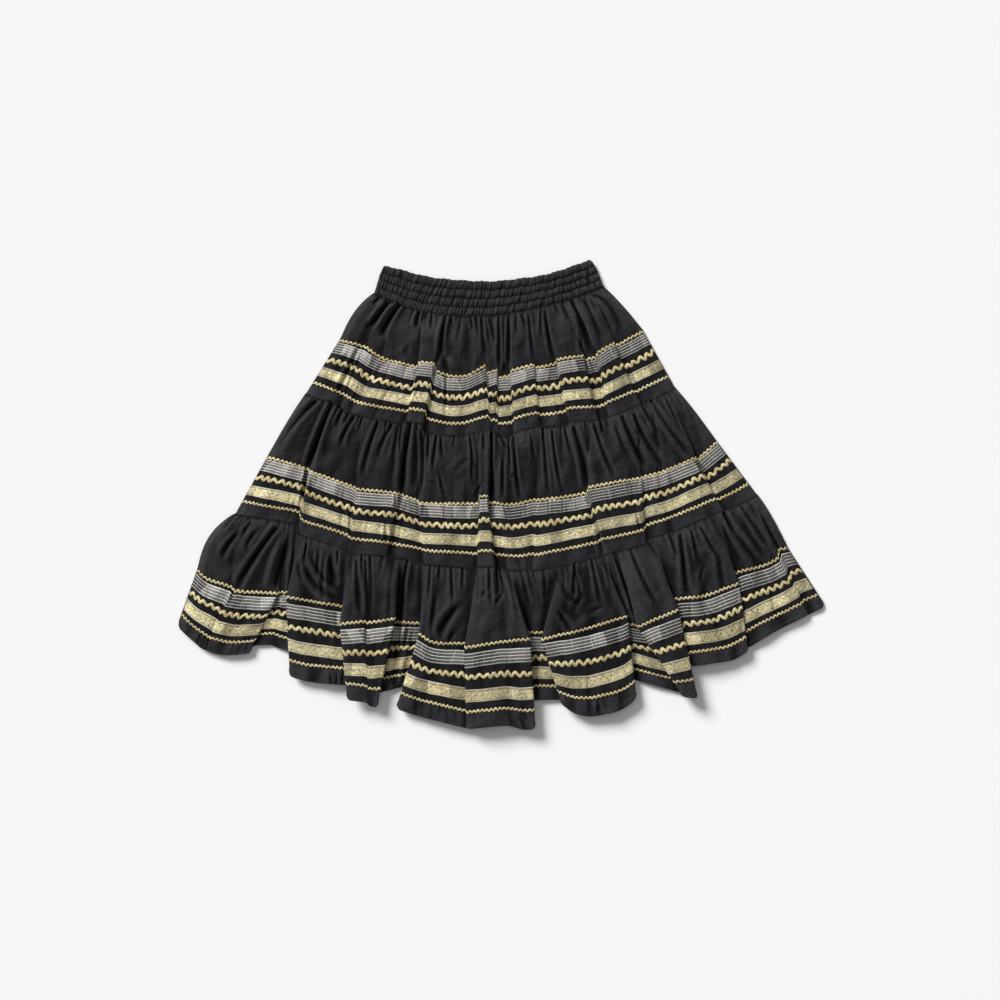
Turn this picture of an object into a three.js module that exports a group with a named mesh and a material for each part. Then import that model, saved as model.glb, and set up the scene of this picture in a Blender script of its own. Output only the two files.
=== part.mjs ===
// Square dance skirt, laid flat on its back: an elastic waistband and three gathered
// tiers, each with five rows of sewn-on trim. Millimetres, +Z up, +X to the wearer's
// left as it lies, +Y to the waist, and the ground at Z = 0.
import * as THREE from 'three';

// ---------------------------------------------------------------- driving sizes
const WALL = 1.2;             // a cloth wall
const GAP = 0.3;              // clearance at seams
const TRIM_CLEARANCE = 0.45;  // trim above the cloth it is sewn to
const TRIM_THICKNESS = 0.6;

// Where a gathered top meets the seam above it.
const TUCK = 3;               // the gathered edge reaches this far under that seam
const SEAM_MARGIN = 1;        // and is level for this far below its lowest point

// Folds: soft steps, and pleats lapped over their neighbours.
const STEP_HALF_WIDTH = 2.5;  // half the width of a soft step between two folds
const TURN_SPACING = 2.4;     // half the spacing of a pleat's columns at the seam above it
const FOLD_OUTER_TURN = 3.9;  // height of a turn that has trim on its inside
const FOLD_INNER_TURN = 2.5;  // height of a turn that has none
const PANEL_CROWN = 1.4;      // rise of the middle of a wide fold
const WIDE_FOLD = 46;         // a fold wider than this has a middle column
const LEVEL_REACHED = 0.35;   // share of the way to the band line where folds reach their level
const LOWEST_FOLD = 0.36;     // least height of a front's middle above its side seams

// The sides of a tier.
const EDGE_ROLL = 8;          // width over which a front panel rises from its side seam
const ROLL_AT_TOP = 0.6;      // share of that width at the gathered top
const BULGE_REACH = 60;       // a tier swells sideways within this of its side seams

// Gathers: every other one is shallower, and none is as tall as its spacing.
const GATHER_ROOM = 0.42;     // most height for each millimetre between two gathers
const GATHER_FADE = 0.6;      // how fast they die out towards the band line
const CALM_WIDTH = 34;        // they die out this near to a lapped fold
const CALM_BY = 0.2;          // share of the way to the band line where they have
const UNEVEN = { mean: 0.75, swing: 0.25, quick: 1.7, slow: 0.61 };

const LEAST_MITRE = 0.74;     // a wall isn't lengthened past this at a sharp bend
const BACK_TRIM_INSET = 0.004;  // share of a back's width that its trims stop short by

const BACK_UNDERSIDE = TRIM_THICKNESS + GAP;
const BACK_TOP = BACK_UNDERSIDE + WALL;
const FRONT_LOW = BACK_TOP + GAP + WALL / 2;
const SEAM_LAYER = WALL + GAP;

const CLOTH = new THREE.MeshStandardMaterial({ color: 0x2b2b2e, roughness: 0.9, metalness: 0 });
const GOLD = new THREE.MeshStandardMaterial({ color: 0xd6c083, roughness: 0.5, metalness: 0.35 });
const SILVER = new THREE.MeshStandardMaterial({ color: 0xa39d9f, roughness: 0.45, metalness: 0.4 });
const BRAID = new THREE.MeshStandardMaterial({ color: 0xc4b57c, roughness: 0.45, metalness: 0.45 });

const table = (columns, rows) => rows.map(
  (row) => Object.fromEntries(columns.map((name, i) => [name, row[i]])));

// ---------------------------------------------------------------- waistband
// One row for each place across the band: its top edge and its bottom seam.
const BAND = table(['topX', 'topY', 'footX', 'footY'], [
  [-181, 350, -194, 307],
  [-152, 343, -163, 293],
  [-112, 331, -138, 282],
  [-63, 327, -83, 272],
  [-13, 324, -18, 272],
  [27, 330, 10, 276],
  [59, 333, 53, 285],
  [94, 343, 108, 298],
  [139, 360, 155, 317],
]);
const BAND_CHANNELS = 4;
const BAND_RIBS = 32;
const BAND_INNER_SKIP = 4;     // the plain inside has a column for every four outside
const BAND_BACK_THICKNESS = BACK_TOP;
const BAND_FRONT_UNDERSIDE = BACK_TOP + GAP + WALL + GAP;
const BAND_FRONT_THICKNESS = 2.4;
const CHANNEL_PUFF = 0.7;
const RIB_HEIGHT = 0.9;
const RIB_AT_CASING = 0.4;     // share of a rib's height left on the lines between channels

// ---------------------------------------------------------------- tiers
// A row for each edge between two folds, from the left side seam to the right one.
// Places are across the top seam, the band line (upper narrow rickrack) and the foot.
// Left and Right are the Y of the folds on each side of the edge, lap how far one fold
// covers the other, and level the height of the fold to the right of the edge.
const FOLD_COLUMNS = ['topX', 'bandX', 'footX', 'bandLap', 'footLap',
  'bandLeft', 'bandRight', 'footLeft', 'footRight', 'level'];

// The wall has a row at each of these shares of the tier's height, so a trim crosses none.
const TIERS = [
  {
    name: 'tier_1',
    band: 0.47,
    rows: [0.07, 0.18, 0.33, 0.47, 0.62, 0.725, 0.85, 1],
    trims: { upper: 0.49, silver: 0.558, wide: 0.675, braid: 0.787, lower: 0.893 },
    gathers: 40,
    gatherHeight: 2.6,
    puff: 3.5,
    bulge: { left: 9, right: 3 },
    footLift: SEAM_LAYER,
    folds: table(FOLD_COLUMNS, [
      [-194, -246, -299, 0, 0, 239, 239, 154, 154, 7],
      [-181, -216, -254, 0, 0, 232, 230, 138, 136, 5.5],
      [-170, -207, -245, 0, 0, 229, 228, 134, 132, 8],
      [-155, -181, -232, 0, 0, 210, 210, 123, 123, 10],
      [-119, -126, -146, 0, 0, 197, 206, 107, 112, 15],
      [-85, -101, -119, 0, 0, 204, 193, 109, 96, 9],
      [-21, -24, -17, 0, 0, 200, 187, 100, 94, 8],
      [-4, -6, -6, 0, 0, 194, 181, 94, 89, 5.5],
      [10, 13, 19, 0, 0, 184, 192, 90, 96, 10],
      [36, 50, 59, 0, 0, 203, 197, 106, 102, 8],
      [63, 83, 103, 0, 0, 202, 209, 107, 113, 12],
      [103, 125, 148, 0, 0, 215, 208, 114, 114, 6],
      [111, 145, 163, 0, 0, 212, 220, 118, 119, 11],
      [135, 171, 212, 0, 0, 235, 230, 138, 137, 8],
      [155, 215, 265, 0, 0, 253, 253, 163, 163, 7],
    ]),
  },
  {
    name: 'tier_2',
    band: 0.49,
    rows: [0.06, 0.17, 0.33, 0.49, 0.62, 0.73, 0.85, 1],
    trims: { upper: 0.508, silver: 0.571, wide: 0.677, braid: 0.791, lower: 0.89 },
    gathers: 46,
    gatherHeight: 2.8,
    puff: 4,
    bulge: { left: 2, right: 2 },
    footLift: SEAM_LAYER,
    folds: table(FOLD_COLUMNS, [
      [-299, -357, -407, 0, 0, 60, 60, -30, -30, 7],
      [-257, -295, -310, 0, 0, 42, 40, -44, -61, 12],
      [-213, -221, -235, 0, 0, 14, 11, -83, -89, 13],
      [-158, -154, -175, 0, 0, 5, 2, -94, -94, 7],
      [-123, -126, -119, 0, 0, -7, -10, -104, -106, 10],
      [-36, -34, -37, 0, 0, -11, 1, -113, -109, 14],
      [-22, -21, -10, 0, 0, 2, -11, -109, -114, 6],
      [-6, -8, 10, 0, 0, -10, -9, -115, -116, 9],
      [12, 5, 28, 0, 0, -14, -15, -116, -116, 8],
      [60, 53, 48, 0, 0, -4, -5, -113, -117, 10],
      [135, 131, 154, 0, 0, 5, 15, -95, -91, 14],
      [200, 213, 220, 0, 0, 28, 30, -77, -67, 10],
      [227, 246, 261, 0, 0, 37, 39, -57, -56, 13],
      [249, 296, 337, 0, 0, 59, 54, -24, -26, 8],
      [265, 328, 391, 0, 0, 83, 83, -1, -1, 7],
    ]),
  },
  {
    name: 'tier_3',
    band: 0.48,
    rows: [0.05, 0.15, 0.31, 0.48, 0.62, 0.735, 0.86, 1],
    trims: { upper: 0.499, silver: 0.574, wide: 0.679, braid: 0.798, lower: 0.893 },
    gathers: 52,
    gatherHeight: 3.2,
    puff: 5,
    bulge: { left: 16, right: 3 },
    footLift: 0,
    folds: table(FOLD_COLUMNS, [
      [-407, -465, -496, 0, 0, -114, -114, -201, -201, 7],
      [-386, -409, -457, 0, 0, -142, -147, -227, -229, 9],
      [-324, -340, -382, 0, 0, -151, -149, -243, -230, 5],
      [-308, -328, -324, 8, 14, -148, -155, -243, -278, 13],
      [-232, -246, -235, 6, 8, -171, -197, -291, -310, 21],
      [-204, -207, -204, 0, 0, -194, -193, -316, -321, 20],
      [-155, -161, -190, 8, 8, -187, -194, -322, -305, 5],
      [-119, -126, -161, 9, 12, -197, -213, -293, -327, 13],
      [-37, -57, -51, 8, 5, -225, -232, -357, -357, 21],
      [-2, 5, 22, 0, 0, -223, -223, -351, -357, 20],
      [12, 43, 52, 8, 12, -220, -211, -357, -315, 5],
      [90, 61, 91, 6, 8, -210, -221, -313, -316, 16],
      [155, 192, 207, 8, 9, -184, -197, -314, -281, 5],
      [174, 206, 276, 9, 5, -200, -201, -305, -308, 23],
      [227, 268, 298, 8, 11, -175, -160, -310, -262, 15.5],
      [325, 362, 368, 6, 3, -135, -119, -249, -246, 8],
      [374, 423, 482, 0, 0, -99, -83, -180, -175, 5],
      [391, 438, 497, 0, 0, -82, -82, -171, -171, 5],
    ]),
  },
];
// How far each back panel's foot curves below the line between its two ends.
const BACK_SAG = { waist: 46, tier_1: 60, tier_2: 94, tier_3: 124 };
const BACK_SAG_POWER = 1.5;
const BACK_COLUMNS = 12;

// Widths of the trims across the cloth.
const TRIMS = table(['part', 'key', 'width', 'material'], [
  ['rickrack_upper', 'upper', 4.5, GOLD],
  ['silver_ribbon', 'silver', 18, SILVER],
  ['rickrack_wide', 'wide', 10, GOLD],
  ['gold_braid', 'braid', 16, BRAID],
  ['rickrack_lower', 'lower', 4.5, GOLD],
]);

// ---------------------------------------------------------------- solids
const mix = (a, b, t) => a + (b - a) * t;
const smooth = (t) => t * t * (3 - 2 * t);
const skirt = new THREE.Group();

// A closed body between two matching sets of rows; each row is a list of {u, p}.
class Wall {
  constructor() {
    this.points = [];
    this.faces = [];
  }

  add(row) {
    return row.map(({ u, p }) => ({ u, i: this.points.push(p.x, p.y, p.z) / 3 - 1 }));
  }

  // Joins two rows, which may have different numbers of points, in the order of u.
  stitch(upper, lower, flip) {
    let a = 0;
    let b = 0;
    while (a < upper.length - 1 || b < lower.length - 1) {
      const nextA = a < upper.length - 1 ? upper[a + 1].u : Infinity;
      const nextB = b < lower.length - 1 ? lower[b + 1].u : Infinity;
      const face = [upper[a].i, lower[b].i];
      if (nextB <= nextA) {
        b += 1;
        face.push(lower[b].i);
      } else {
        a += 1;
        face.push(upper[a].i);
      }
      this.faces.push(...(flip ? face.reverse() : face));
    }
  }

  quad(a, b, c, d) {
    this.faces.push(a, b, c, a, c, d);
  }

  // Closes the outer and the inner rows into one body.
  static between(outerRows, innerRows) {
    const wall = new Wall();
    const outer = outerRows.map((row) => wall.add(row));
    const inner = innerRows.map((row) => wall.add(row));
    for (let r = 0; r < outer.length - 1; r += 1) {
      wall.stitch(outer[r], outer[r + 1], false);
      wall.stitch(inner[r], inner[r + 1], true);
      const [o, below, i, under] = [outer[r], outer[r + 1], inner[r], inner[r + 1]];
      wall.quad(o[0].i, i[0].i, under[0].i, below[0].i);
      wall.quad(o.at(-1).i, below.at(-1).i, under.at(-1).i, i.at(-1).i);
    }
    wall.stitch(inner[0], outer[0], false);
    wall.stitch(outer.at(-1), inner.at(-1), false);
    return wall;
  }

  mesh(name, material) {
    const geometry = new THREE.BufferGeometry();
    geometry.setAttribute('position', new THREE.Float32BufferAttribute(this.points, 3));
    geometry.setIndex(this.faces);
    geometry.computeVertexNormals();
    const mesh = new THREE.Mesh(geometry, material);
    mesh.name = name;
    skirt.add(mesh);
  }
}

// ---------------------------------------------------------------- front of a tier
// The column along the middle of a wide fold, a little higher than its two sides.
function crownBetween(a, b) {
  const band = a.band.clone().lerp(b.band, 0.5);
  const foot = a.foot.clone().lerp(b.foot, 0.5);
  band.z += PANEL_CROWN;
  foot.z += PANEL_CROWN;
  return { topX: mix(a.topX, b.topX, 0.5), band, foot };
}

// The columns of a tier: where each one lies at the band line and at the foot.
function columnsOf(folds) {
  const columns = [];
  const put = (topX, bandX, bandY, footX, footY, level) => {
    columns.push({
      topX,
      band: new THREE.Vector3(bandX, bandY, level),
      foot: new THREE.Vector3(footX, footY, level),
    });
  };
  folds.forEach((f, i) => {
    const first = i === 0;
    const last = i === folds.length - 1;
    if (first || last) {
      const inward = first ? EDGE_ROLL : -EDGE_ROLL;
      const level = first ? f.level : folds[i - 1].level;
      const neighbour = first ? folds[1] : folds[i - 1];
      const [bandY, footY] = first ? [neighbour.bandLeft, neighbour.footLeft]
        : [neighbour.bandRight, neighbour.footRight];
      const bandSlope = (bandY - f.bandLeft) / (neighbour.bandX - f.bandX);
      const footSlope = (footY - f.footLeft) / (neighbour.footX - f.footX);
      const edge = [f.topX, f.bandX, f.bandLeft, f.footX, f.footLeft, FRONT_LOW];
      const roll = [f.topX + inward * ROLL_AT_TOP, f.bandX + inward, f.bandLeft + inward * bandSlope,
        f.footX + inward, f.footLeft + inward * footSlope, level];
      (first ? [edge, roll] : [roll, edge]).forEach((c) => put(...c));
      return;
    }
    const low = folds[i - 1].level;
    const high = f.level;
    const w = STEP_HALF_WIDTH;
    if (f.bandLap === 0) {
      put(f.topX - w, f.bandX - w, f.bandLeft, f.footX - w, f.footLeft, low);
      put(f.topX + w, f.bandX + w, f.bandRight, f.footX + w, f.footRight, high);
      return;
    }
    const over = high > low;
    const leftBand = f.bandX + (over ? f.bandLap : 0);
    const leftFoot = f.footX + (over ? f.footLap : 0);
    const rightBand = f.bandX - (over ? 0 : f.bandLap);
    const rightFoot = f.footX - (over ? 0 : f.footLap);
    const leftTurn = over ? FOLD_OUTER_TURN : -FOLD_INNER_TURN;
    const rightTurn = over ? -FOLD_INNER_TURN : FOLD_OUTER_TURN;
    put(f.topX - 3 * TURN_SPACING, leftBand, f.bandLeft, leftFoot, f.footLeft, low);
    put(f.topX - TURN_SPACING, leftBand, f.bandLeft, leftFoot, f.footLeft, low + leftTurn);
    put(f.topX + TURN_SPACING, rightBand, f.bandRight, rightFoot, f.footRight, high + rightTurn);
    put(f.topX + 3 * TURN_SPACING, rightBand, f.bandRight, rightFoot, f.footRight, high);
  });
  return columns.flatMap((column, k) => {
    const next = columns[k + 1];
    const level = next && next.band.z === column.band.z;
    const wide = level && next.band.x - column.band.x > WIDE_FOLD;
    return wide ? [column, crownBetween(column, next)] : [column];
  }).map((column, u) => ({ ...column, u }));
}

// Adds the gathers' columns between those of the folds, spread evenly along the top seam.
function gatherColumns(columns, count) {
  const span = columns.at(-1).topX - columns[0].topX;
  const pitch = span / (2 * count);
  const all = [];
  columns.forEach((a, k) => {
    all.push(a);
    const b = columns[k + 1];
    if (!b) return;
    const parts = Math.max(1, Math.round((b.topX - a.topX) / pitch));
    for (let j = 1; j < parts; j += 1) {
      const t = j / parts;
      all.push({
        u: mix(a.u, b.u, t),
        topX: mix(a.topX, b.topX, t),
        band: a.band.clone().lerp(b.band, t),
      });
    }
  });
  return all;
}

// The edge that a gathered top is sewn under, near one place: its reach in Y, and the
// height of its underside.
function seamAt(edge, x, reach) {
  const near = [x - reach, x, x + reach].map((at) => {
    const held = Math.min(Math.max(at, edge[0].x), edge.at(-1).x);
    const k = Math.max(1, edge.findIndex((p) => p.x >= held));
    const t = (held - edge[k - 1].x) / (edge[k].x - edge[k - 1].x);
    return edge[k - 1].clone().lerp(edge[k], t);
  });
  near.push(...edge.filter((p) => Math.abs(p.x - x) < reach));
  const ys = near.map((p) => p.y);
  return { low: Math.min(...ys), high: Math.max(...ys), under: Math.min(...near.map((p) => p.z)) };
}

// Every row of the middle of a front wall, from under the seam above down to the foot.
function frontRows(tier, seam) {
  const columns = columnsOf(tier.folds);
  const gathers = gatherColumns(columns, tier.gathers);
  const reach = gathers.reduce((most, g, k) => Math.max(most,
    k ? g.topX - gathers[k - 1].topX : 0), 0) + 1;
  const tops = gathers.map((g, k) => {
    const { low, high, under } = seamAt(seam, g.topX, reach);
    const room = Math.min(k ? g.topX - gathers[k - 1].topX : Infinity,
      k < gathers.length - 1 ? gathers[k + 1].topX - g.topX : Infinity);
    const lapped = tier.folds.filter((f) => f.bandLap > 0).map((f) => Math.abs(f.topX - g.topX));
    const calm = smooth(Math.min(1, Math.min(...lapped, CALM_WIDTH) / CALM_WIDTH));
    return { low, high, z: Math.max(under - GAP - WALL / 2, FRONT_LOW), room, calm };
  });
  const rows = [
    gathers.map((g, k) => ({
      u: g.u,
      p: new THREE.Vector3(g.topX, tops[k].high + TUCK, tops[k].z),
    })),
    gathers.map((g, k) => ({
      u: g.u,
      p: new THREE.Vector3(g.topX, tops[k].low - SEAM_MARGIN, tops[k].z),
    })),
  ];
  const last = gathers.length - 1;
  tier.rows.forEach((v, r) => {
    if (v >= tier.band) {
      const s = (v - tier.band) / (1 - tier.band);
      rows.push(columns.map((c, k) => {
        const p = c.band.clone().lerp(c.foot, s);
        if (v === 1 && (k === 0 || k === columns.length - 1)) p.z += tier.footLift;
        return { u: c.u, p };
      }));
      return;
    }
    const s = v / tier.band;
    const wide = r < tier.rows.findIndex((row) => row >= tier.band) - 1;
    const swell = Math.sin(Math.PI * Math.sqrt(s)) * tier.puff;
    const wave = wide ? tier.gatherHeight * (1 - s) ** GATHER_FADE : 0;
    const row = gathers.map((g, k) => {
      const top = rows[1][k].p;
      const p = top.clone().lerp(g.band, s);
      const side = k === 0 || k === last;
      const fromLeft = Math.max(0, 1 - (g.topX - gathers[0].topX) / BULGE_REACH);
      const fromRight = Math.max(0, 1 - (gathers[last].topX - g.topX) / BULGE_REACH);
      const bow = Math.sin(Math.PI * s ** 0.75);
      p.x += bow * (tier.bulge.right * fromRight - tier.bulge.left * fromLeft);
      if (side) {
        p.z = FRONT_LOW;
        return { u: g.u, p };
      }
      const ripple = Math.sin(k * UNEVEN.quick) * Math.cos(k * UNEVEN.slow);
      const uneven = UNEVEN.mean + UNEVEN.swing * ripple;
      const calm = mix(1, tops[k].calm, Math.min(1, s / CALM_BY));
      const height = Math.min(wave, tops[k].room * GATHER_ROOM) * uneven * calm;
      const level = mix(top.z, g.band.z, smooth(Math.min(1, s / LEVEL_REACHED)));
      const z = level + swell + (k % 2 ? height : -height);
      p.z = Math.max(z, FRONT_LOW + LOWEST_FOLD);
      return { u: g.u, p };
    });
    const coarse = new Set(columns.map((c) => c.u));
    rows.push(wide ? row : row.filter(({ u }) => coarse.has(u)));
  });
  return rows;
}

// The way out of the cloth at each point, long enough to keep a wall's thickness at bends.
function normalsOf(rows) {
  const at = (row, u) => {
    const k = Math.max(1, row.findIndex((c) => c.u >= u));
    const t = (u - row[k - 1].u) / (row[k].u - row[k - 1].u);
    return row[k - 1].p.clone().lerp(row[k].p, t);
  };
  return rows.map((row, r) => row.map(({ u, p }, k) => {
    const before = row[Math.max(k - 1, 0)].p;
    const after = row[Math.min(k + 1, row.length - 1)].p;
    const along = p.clone().sub(before).normalize().add(after.clone().sub(p).normalize());
    const straight = k === 0 || k === row.length - 1 ? 1 : along.length() / 2;
    const above = at(rows[Math.max(r - 1, 0)], u);
    const below = at(rows[Math.min(r + 1, rows.length - 1)], u);
    const normal = below.sub(above).cross(along).normalize();
    return normal.multiplyScalar(1 / Math.max(straight, LEAST_MITRE));
  }));
}

const moved = (rows, normals, distance) => rows.map((row, r) => row.map(
  ({ u, p }, k) => ({ u, p: p.clone().addScaledVector(normals[r][k], distance) })));

// A tier's length from its top seam to its foot, read at its middle fold.
function heightOf({ folds, band }) {
  const { bandLeft, footLeft } = folds[Math.floor(folds.length / 2)];
  return (bandLeft - footLeft) / (1 - band);
}

// A flat strip along a wall between two shares of the tier's height.
function addStrip(name, material, tier, rows, normals, centre, width) {
  const shares = [null, null, ...tier.rows];
  const lower = shares.findIndex((v) => v !== null && v > centre);
  const upper = lower - 1;
  const point = (k, v, height) => {
    const t = (v - shares[upper]) / (shares[lower] - shares[upper]);
    const p = rows[upper][k].p.clone().lerp(rows[lower][k].p, t);
    return p.addScaledVector(normals[upper][k].clone().lerp(normals[lower][k], t), height);
  };
  const half = width / 2 / heightOf(tier);
  const bottom = WALL / 2 + TRIM_CLEARANCE;
  const line = (v, height) => rows[upper].map(({ u }, k) => ({ u, p: point(k, v, height) }));
  const edges = (height) => [line(centre - half, height), line(centre + half, height)];
  Wall.between(edges(bottom + TRIM_THICKNESS), edges(bottom)).mesh(name, material);
}

// ---------------------------------------------------------------- back of a tier
// A point of a back panel's plan: share t across it, share v of the tier's height.
function backPlan(left, right, sag, t) {
  const p = left.clone().lerp(right, t);
  p.y -= sag * Math.sin(Math.PI * t) ** BACK_SAG_POWER;
  return p;
}

function addBack(tier, rows, sagTop) {
  const shares = [0, ...tier.rows];
  const sides = rows.slice(1).map((row, r) => ({
    v: shares[r],
    left: row[0].p,
    right: row.at(-1).p,
  }));
  const sideAt = (v) => {
    const k = Math.max(1, sides.findIndex((s) => s.v >= v));
    const t = (v - sides[k - 1].v) / (sides[k].v - sides[k - 1].v);
    return {
      left: sides[k - 1].left.clone().lerp(sides[k].left, t),
      right: sides[k - 1].right.clone().lerp(sides[k].right, t),
    };
  };
  const sag = (v) => mix(sagTop, BACK_SAG[tier.name], v);
  const layer = (z) => shares.filter((v, i) => i % 2 === 0 || v === 1).map((v) => {
    const { left, right } = sideAt(v);
    return Array.from({ length: BACK_COLUMNS + 1 }, (_, k) => {
      const p = backPlan(left, right, sag(v), k / BACK_COLUMNS);
      if (v === 1) p.y += GAP;
      p.z = z;
      return { u: k, p };
    });
  });
  Wall.between(layer(BACK_TOP), layer(BACK_UNDERSIDE)).mesh(`${tier.name}_back`, CLOTH);

  TRIMS.forEach(({ part, key, width, material }) => {
    const half = width / 2 / heightOf(tier);
    const edges = (z) => [tier.trims[key] - half, tier.trims[key] + half].map((v) => {
      const { left, right } = sideAt(v);
      return Array.from({ length: BACK_COLUMNS + 1 }, (_, k) => {
        const t = mix(BACK_TRIM_INSET, 1 - BACK_TRIM_INSET, k / BACK_COLUMNS);
        const p = backPlan(left, right, sag(v), t);
        p.z = z;
        return { u: k, p };
      });
    });
    Wall.between(edges(TRIM_THICKNESS), edges(0)).mesh(`${tier.name}_${part}_back`, material);
  });
}

// ---------------------------------------------------------------- assembly
// A place on the band: share t across it and share v from its top edge to its seam.
function bandPoint(t, v, z) {
  const at = t * (BAND.length - 1);
  const k = Math.min(Math.floor(at), BAND.length - 2);
  const [a, b] = [BAND[k], BAND[k + 1]];
  const x = mix(mix(a.topX, b.topX, at - k), mix(a.footX, b.footX, at - k), v);
  const y = mix(mix(a.topY, b.topY, at - k), mix(a.footY, b.footY, at - k), v);
  return new THREE.Vector3(x, y, z);
}

function addBandFront() {
  const columns = 2 * BAND_RIBS;
  const steps = 2 * BAND_CHANNELS;
  const row = (r, skip, rise) => Array.from({ length: columns / skip + 1 }, (_, i) => {
    const k = i * skip;
    const side = k === 0 || k === columns;
    const dip = side ? GAP + WALL : 0;
    const v = r / steps;
    const z = BAND_FRONT_UNDERSIDE - dip * (1 - v) + rise(k, side);
    return { u: k, p: bandPoint(k / columns, v, z) };
  });
  const outer = Array.from({ length: steps + 1 }, (_, r) => row(r, 1, (k, side) => {
    if (side) return BAND_FRONT_THICKNESS;
    const rib = (k % 2) * RIB_HEIGHT;
    return BAND_FRONT_THICKNESS + (r % 2 ? CHANNEL_PUFF + rib : rib * RIB_AT_CASING);
  }));
  const inner = outer.map((_, r) => row(r, BAND_INNER_SKIP, () => 0));
  Wall.between(outer, inner).mesh('waistband_front', CLOTH);
  return inner.at(-1).map(({ p }) => p);
}

function addBandBack() {
  const layer = (z) => [0, 0.5, 1].map((v) => Array.from({ length: BACK_COLUMNS + 1 }, (_, k) => {
    const t = k / BACK_COLUMNS;
    const p = backPlan(bandPoint(0, v, z), bandPoint(1, v, z), BACK_SAG.waist, t);
    p.y += v === 1 ? GAP : 0;
    return { u: k, p };
  }));
  Wall.between(layer(BAND_BACK_THICKNESS), layer(0)).mesh('waistband_back', CLOTH);
}

let seam = addBandFront();
addBandBack();
let sag = BACK_SAG.waist;
TIERS.forEach((tier) => {
  const rows = frontRows(tier, seam);
  const normals = normalsOf(rows);
  const inner = moved(rows, normals, -WALL / 2);
  Wall.between(moved(rows, normals, WALL / 2), inner).mesh(`${tier.name}_front`, CLOTH);
  TRIMS.forEach(({ part, key, width, material }) => {
    const name = `${tier.name}_${part}_front`;
    addStrip(name, material, tier, rows, normals, tier.trims[key], width);
  });
  addBack(tier, rows, sag);
  sag = BACK_SAG[tier.name];
  seam = inner.at(-1).map(({ p }) => p);
});

export default skirt;
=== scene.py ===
import math

import bpy
import numpy as np
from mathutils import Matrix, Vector


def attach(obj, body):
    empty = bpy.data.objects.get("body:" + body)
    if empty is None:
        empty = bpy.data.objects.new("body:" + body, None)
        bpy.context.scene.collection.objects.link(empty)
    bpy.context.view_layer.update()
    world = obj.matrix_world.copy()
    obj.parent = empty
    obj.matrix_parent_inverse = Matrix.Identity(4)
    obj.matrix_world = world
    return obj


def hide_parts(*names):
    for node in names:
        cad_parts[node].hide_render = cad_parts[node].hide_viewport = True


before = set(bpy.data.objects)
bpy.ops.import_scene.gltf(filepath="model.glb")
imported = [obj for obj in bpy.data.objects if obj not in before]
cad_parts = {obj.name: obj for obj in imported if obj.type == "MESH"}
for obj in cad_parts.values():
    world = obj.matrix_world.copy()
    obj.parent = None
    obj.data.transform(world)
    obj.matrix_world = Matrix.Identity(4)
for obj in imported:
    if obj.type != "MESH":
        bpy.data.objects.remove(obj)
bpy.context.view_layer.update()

# ---------------------------------------------------------------------------------------
# Waistband: a strip of black cotton folded over four rows of narrow elastic. Each row is
# stitched into its own channel while stretched, so the relaxed band shirrs into fine ribs.
# ---------------------------------------------------------------------------------------
# Sizes are in millimetres, which become metres where a mesh is made. Materials are in metres.
MM = 0.001


class Socket:
    """A shader value that takes part in Python expressions, each adding its Math node."""

    def __init__(self, tree, link):
        self.tree, self.link = tree, link

    def maths(self, operation, *values, flip=False):
        inputs = (*values, self) if flip else (self, *values)
        return node(self.tree, "ShaderNodeMath", {"operation": operation}, inputs)

    def beside(self, out):
        """Another output of the node that this value comes from."""
        return Socket(self.tree, self.link.node.outputs[out])

    def __add__(self, other):
        return self.maths("ADD", other)

    def __sub__(self, other):
        return self.maths("SUBTRACT", other)

    def __rsub__(self, other):
        return self.maths("SUBTRACT", other, flip=True)

    def __mul__(self, other):
        return self.maths("MULTIPLY", other)

    def __abs__(self):
        return self.maths("ABSOLUTE")

    __radd__, __rmul__ = __add__, __mul__


def node(tree, kind, settings, sockets, out=0):
    """Adds one node: its settings first, then its sockets by number or name."""
    made = tree.nodes.new(kind)
    for key, value in settings.items():
        setattr(made, key, value)
    named = sockets.items() if isinstance(sockets, dict) else enumerate(sockets)
    for key, value in named:
        if isinstance(value, Socket):
            tree.links.new(value.link, made.inputs[key])
        else:
            made.inputs[key].default_value = value
    return Socket(tree, made.outputs[out])


def clamp(value):
    return value.maths("MAXIMUM", 0.0).maths("MINIMUM", 1.0)


def ripple(distance, pitch):
    """Even waves between 0 and 1 along a distance, one to each pitch."""
    return ((distance * (2 * math.pi / pitch)).maths("SINE") + 1) * 0.5


def blend_colours(tree, share, first, second):
    """Mixes two colours, given as sockets or as red, green and blue."""
    first, second = (c if isinstance(c, Socket) else (*c, 1) for c in (first, second))
    return node(tree, "ShaderNodeMix", {"data_type": "RGBA"}, {0: share, 6: first, 7: second}, 2)


def shaded(tree, colour, scale):
    """A colour made lighter or darker as a whole."""
    return node(tree, "ShaderNodeVectorMath", {"operation": "SCALE"},
                {"Vector": colour, "Scale": scale}, "Vector")


def finish_of(name, constants, build):
    """A Principled material; build(tree) gives the sockets that vary over the surface."""
    material = bpy.data.materials.new(name)
    material.use_nodes = True
    tree = material.node_tree
    shader = tree.nodes["Principled BSDF"]
    for socket, value in {**constants, **build(tree)}.items():
        if isinstance(value, Socket):
            tree.links.new(value.link, shader.inputs[socket])
        else:
            shader.inputs[socket].default_value = value
    return material


def object_point(tree):
    return node(tree, "ShaderNodeTexCoord", {}, {}, "Object")


def noise(tree, place, scale, detail=3.0, roughness=0.5):
    return node(tree, "ShaderNodeTexNoise", {},
                {"Vector": place, "Scale": scale, "Detail": detail, "Roughness": roughness})


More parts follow.
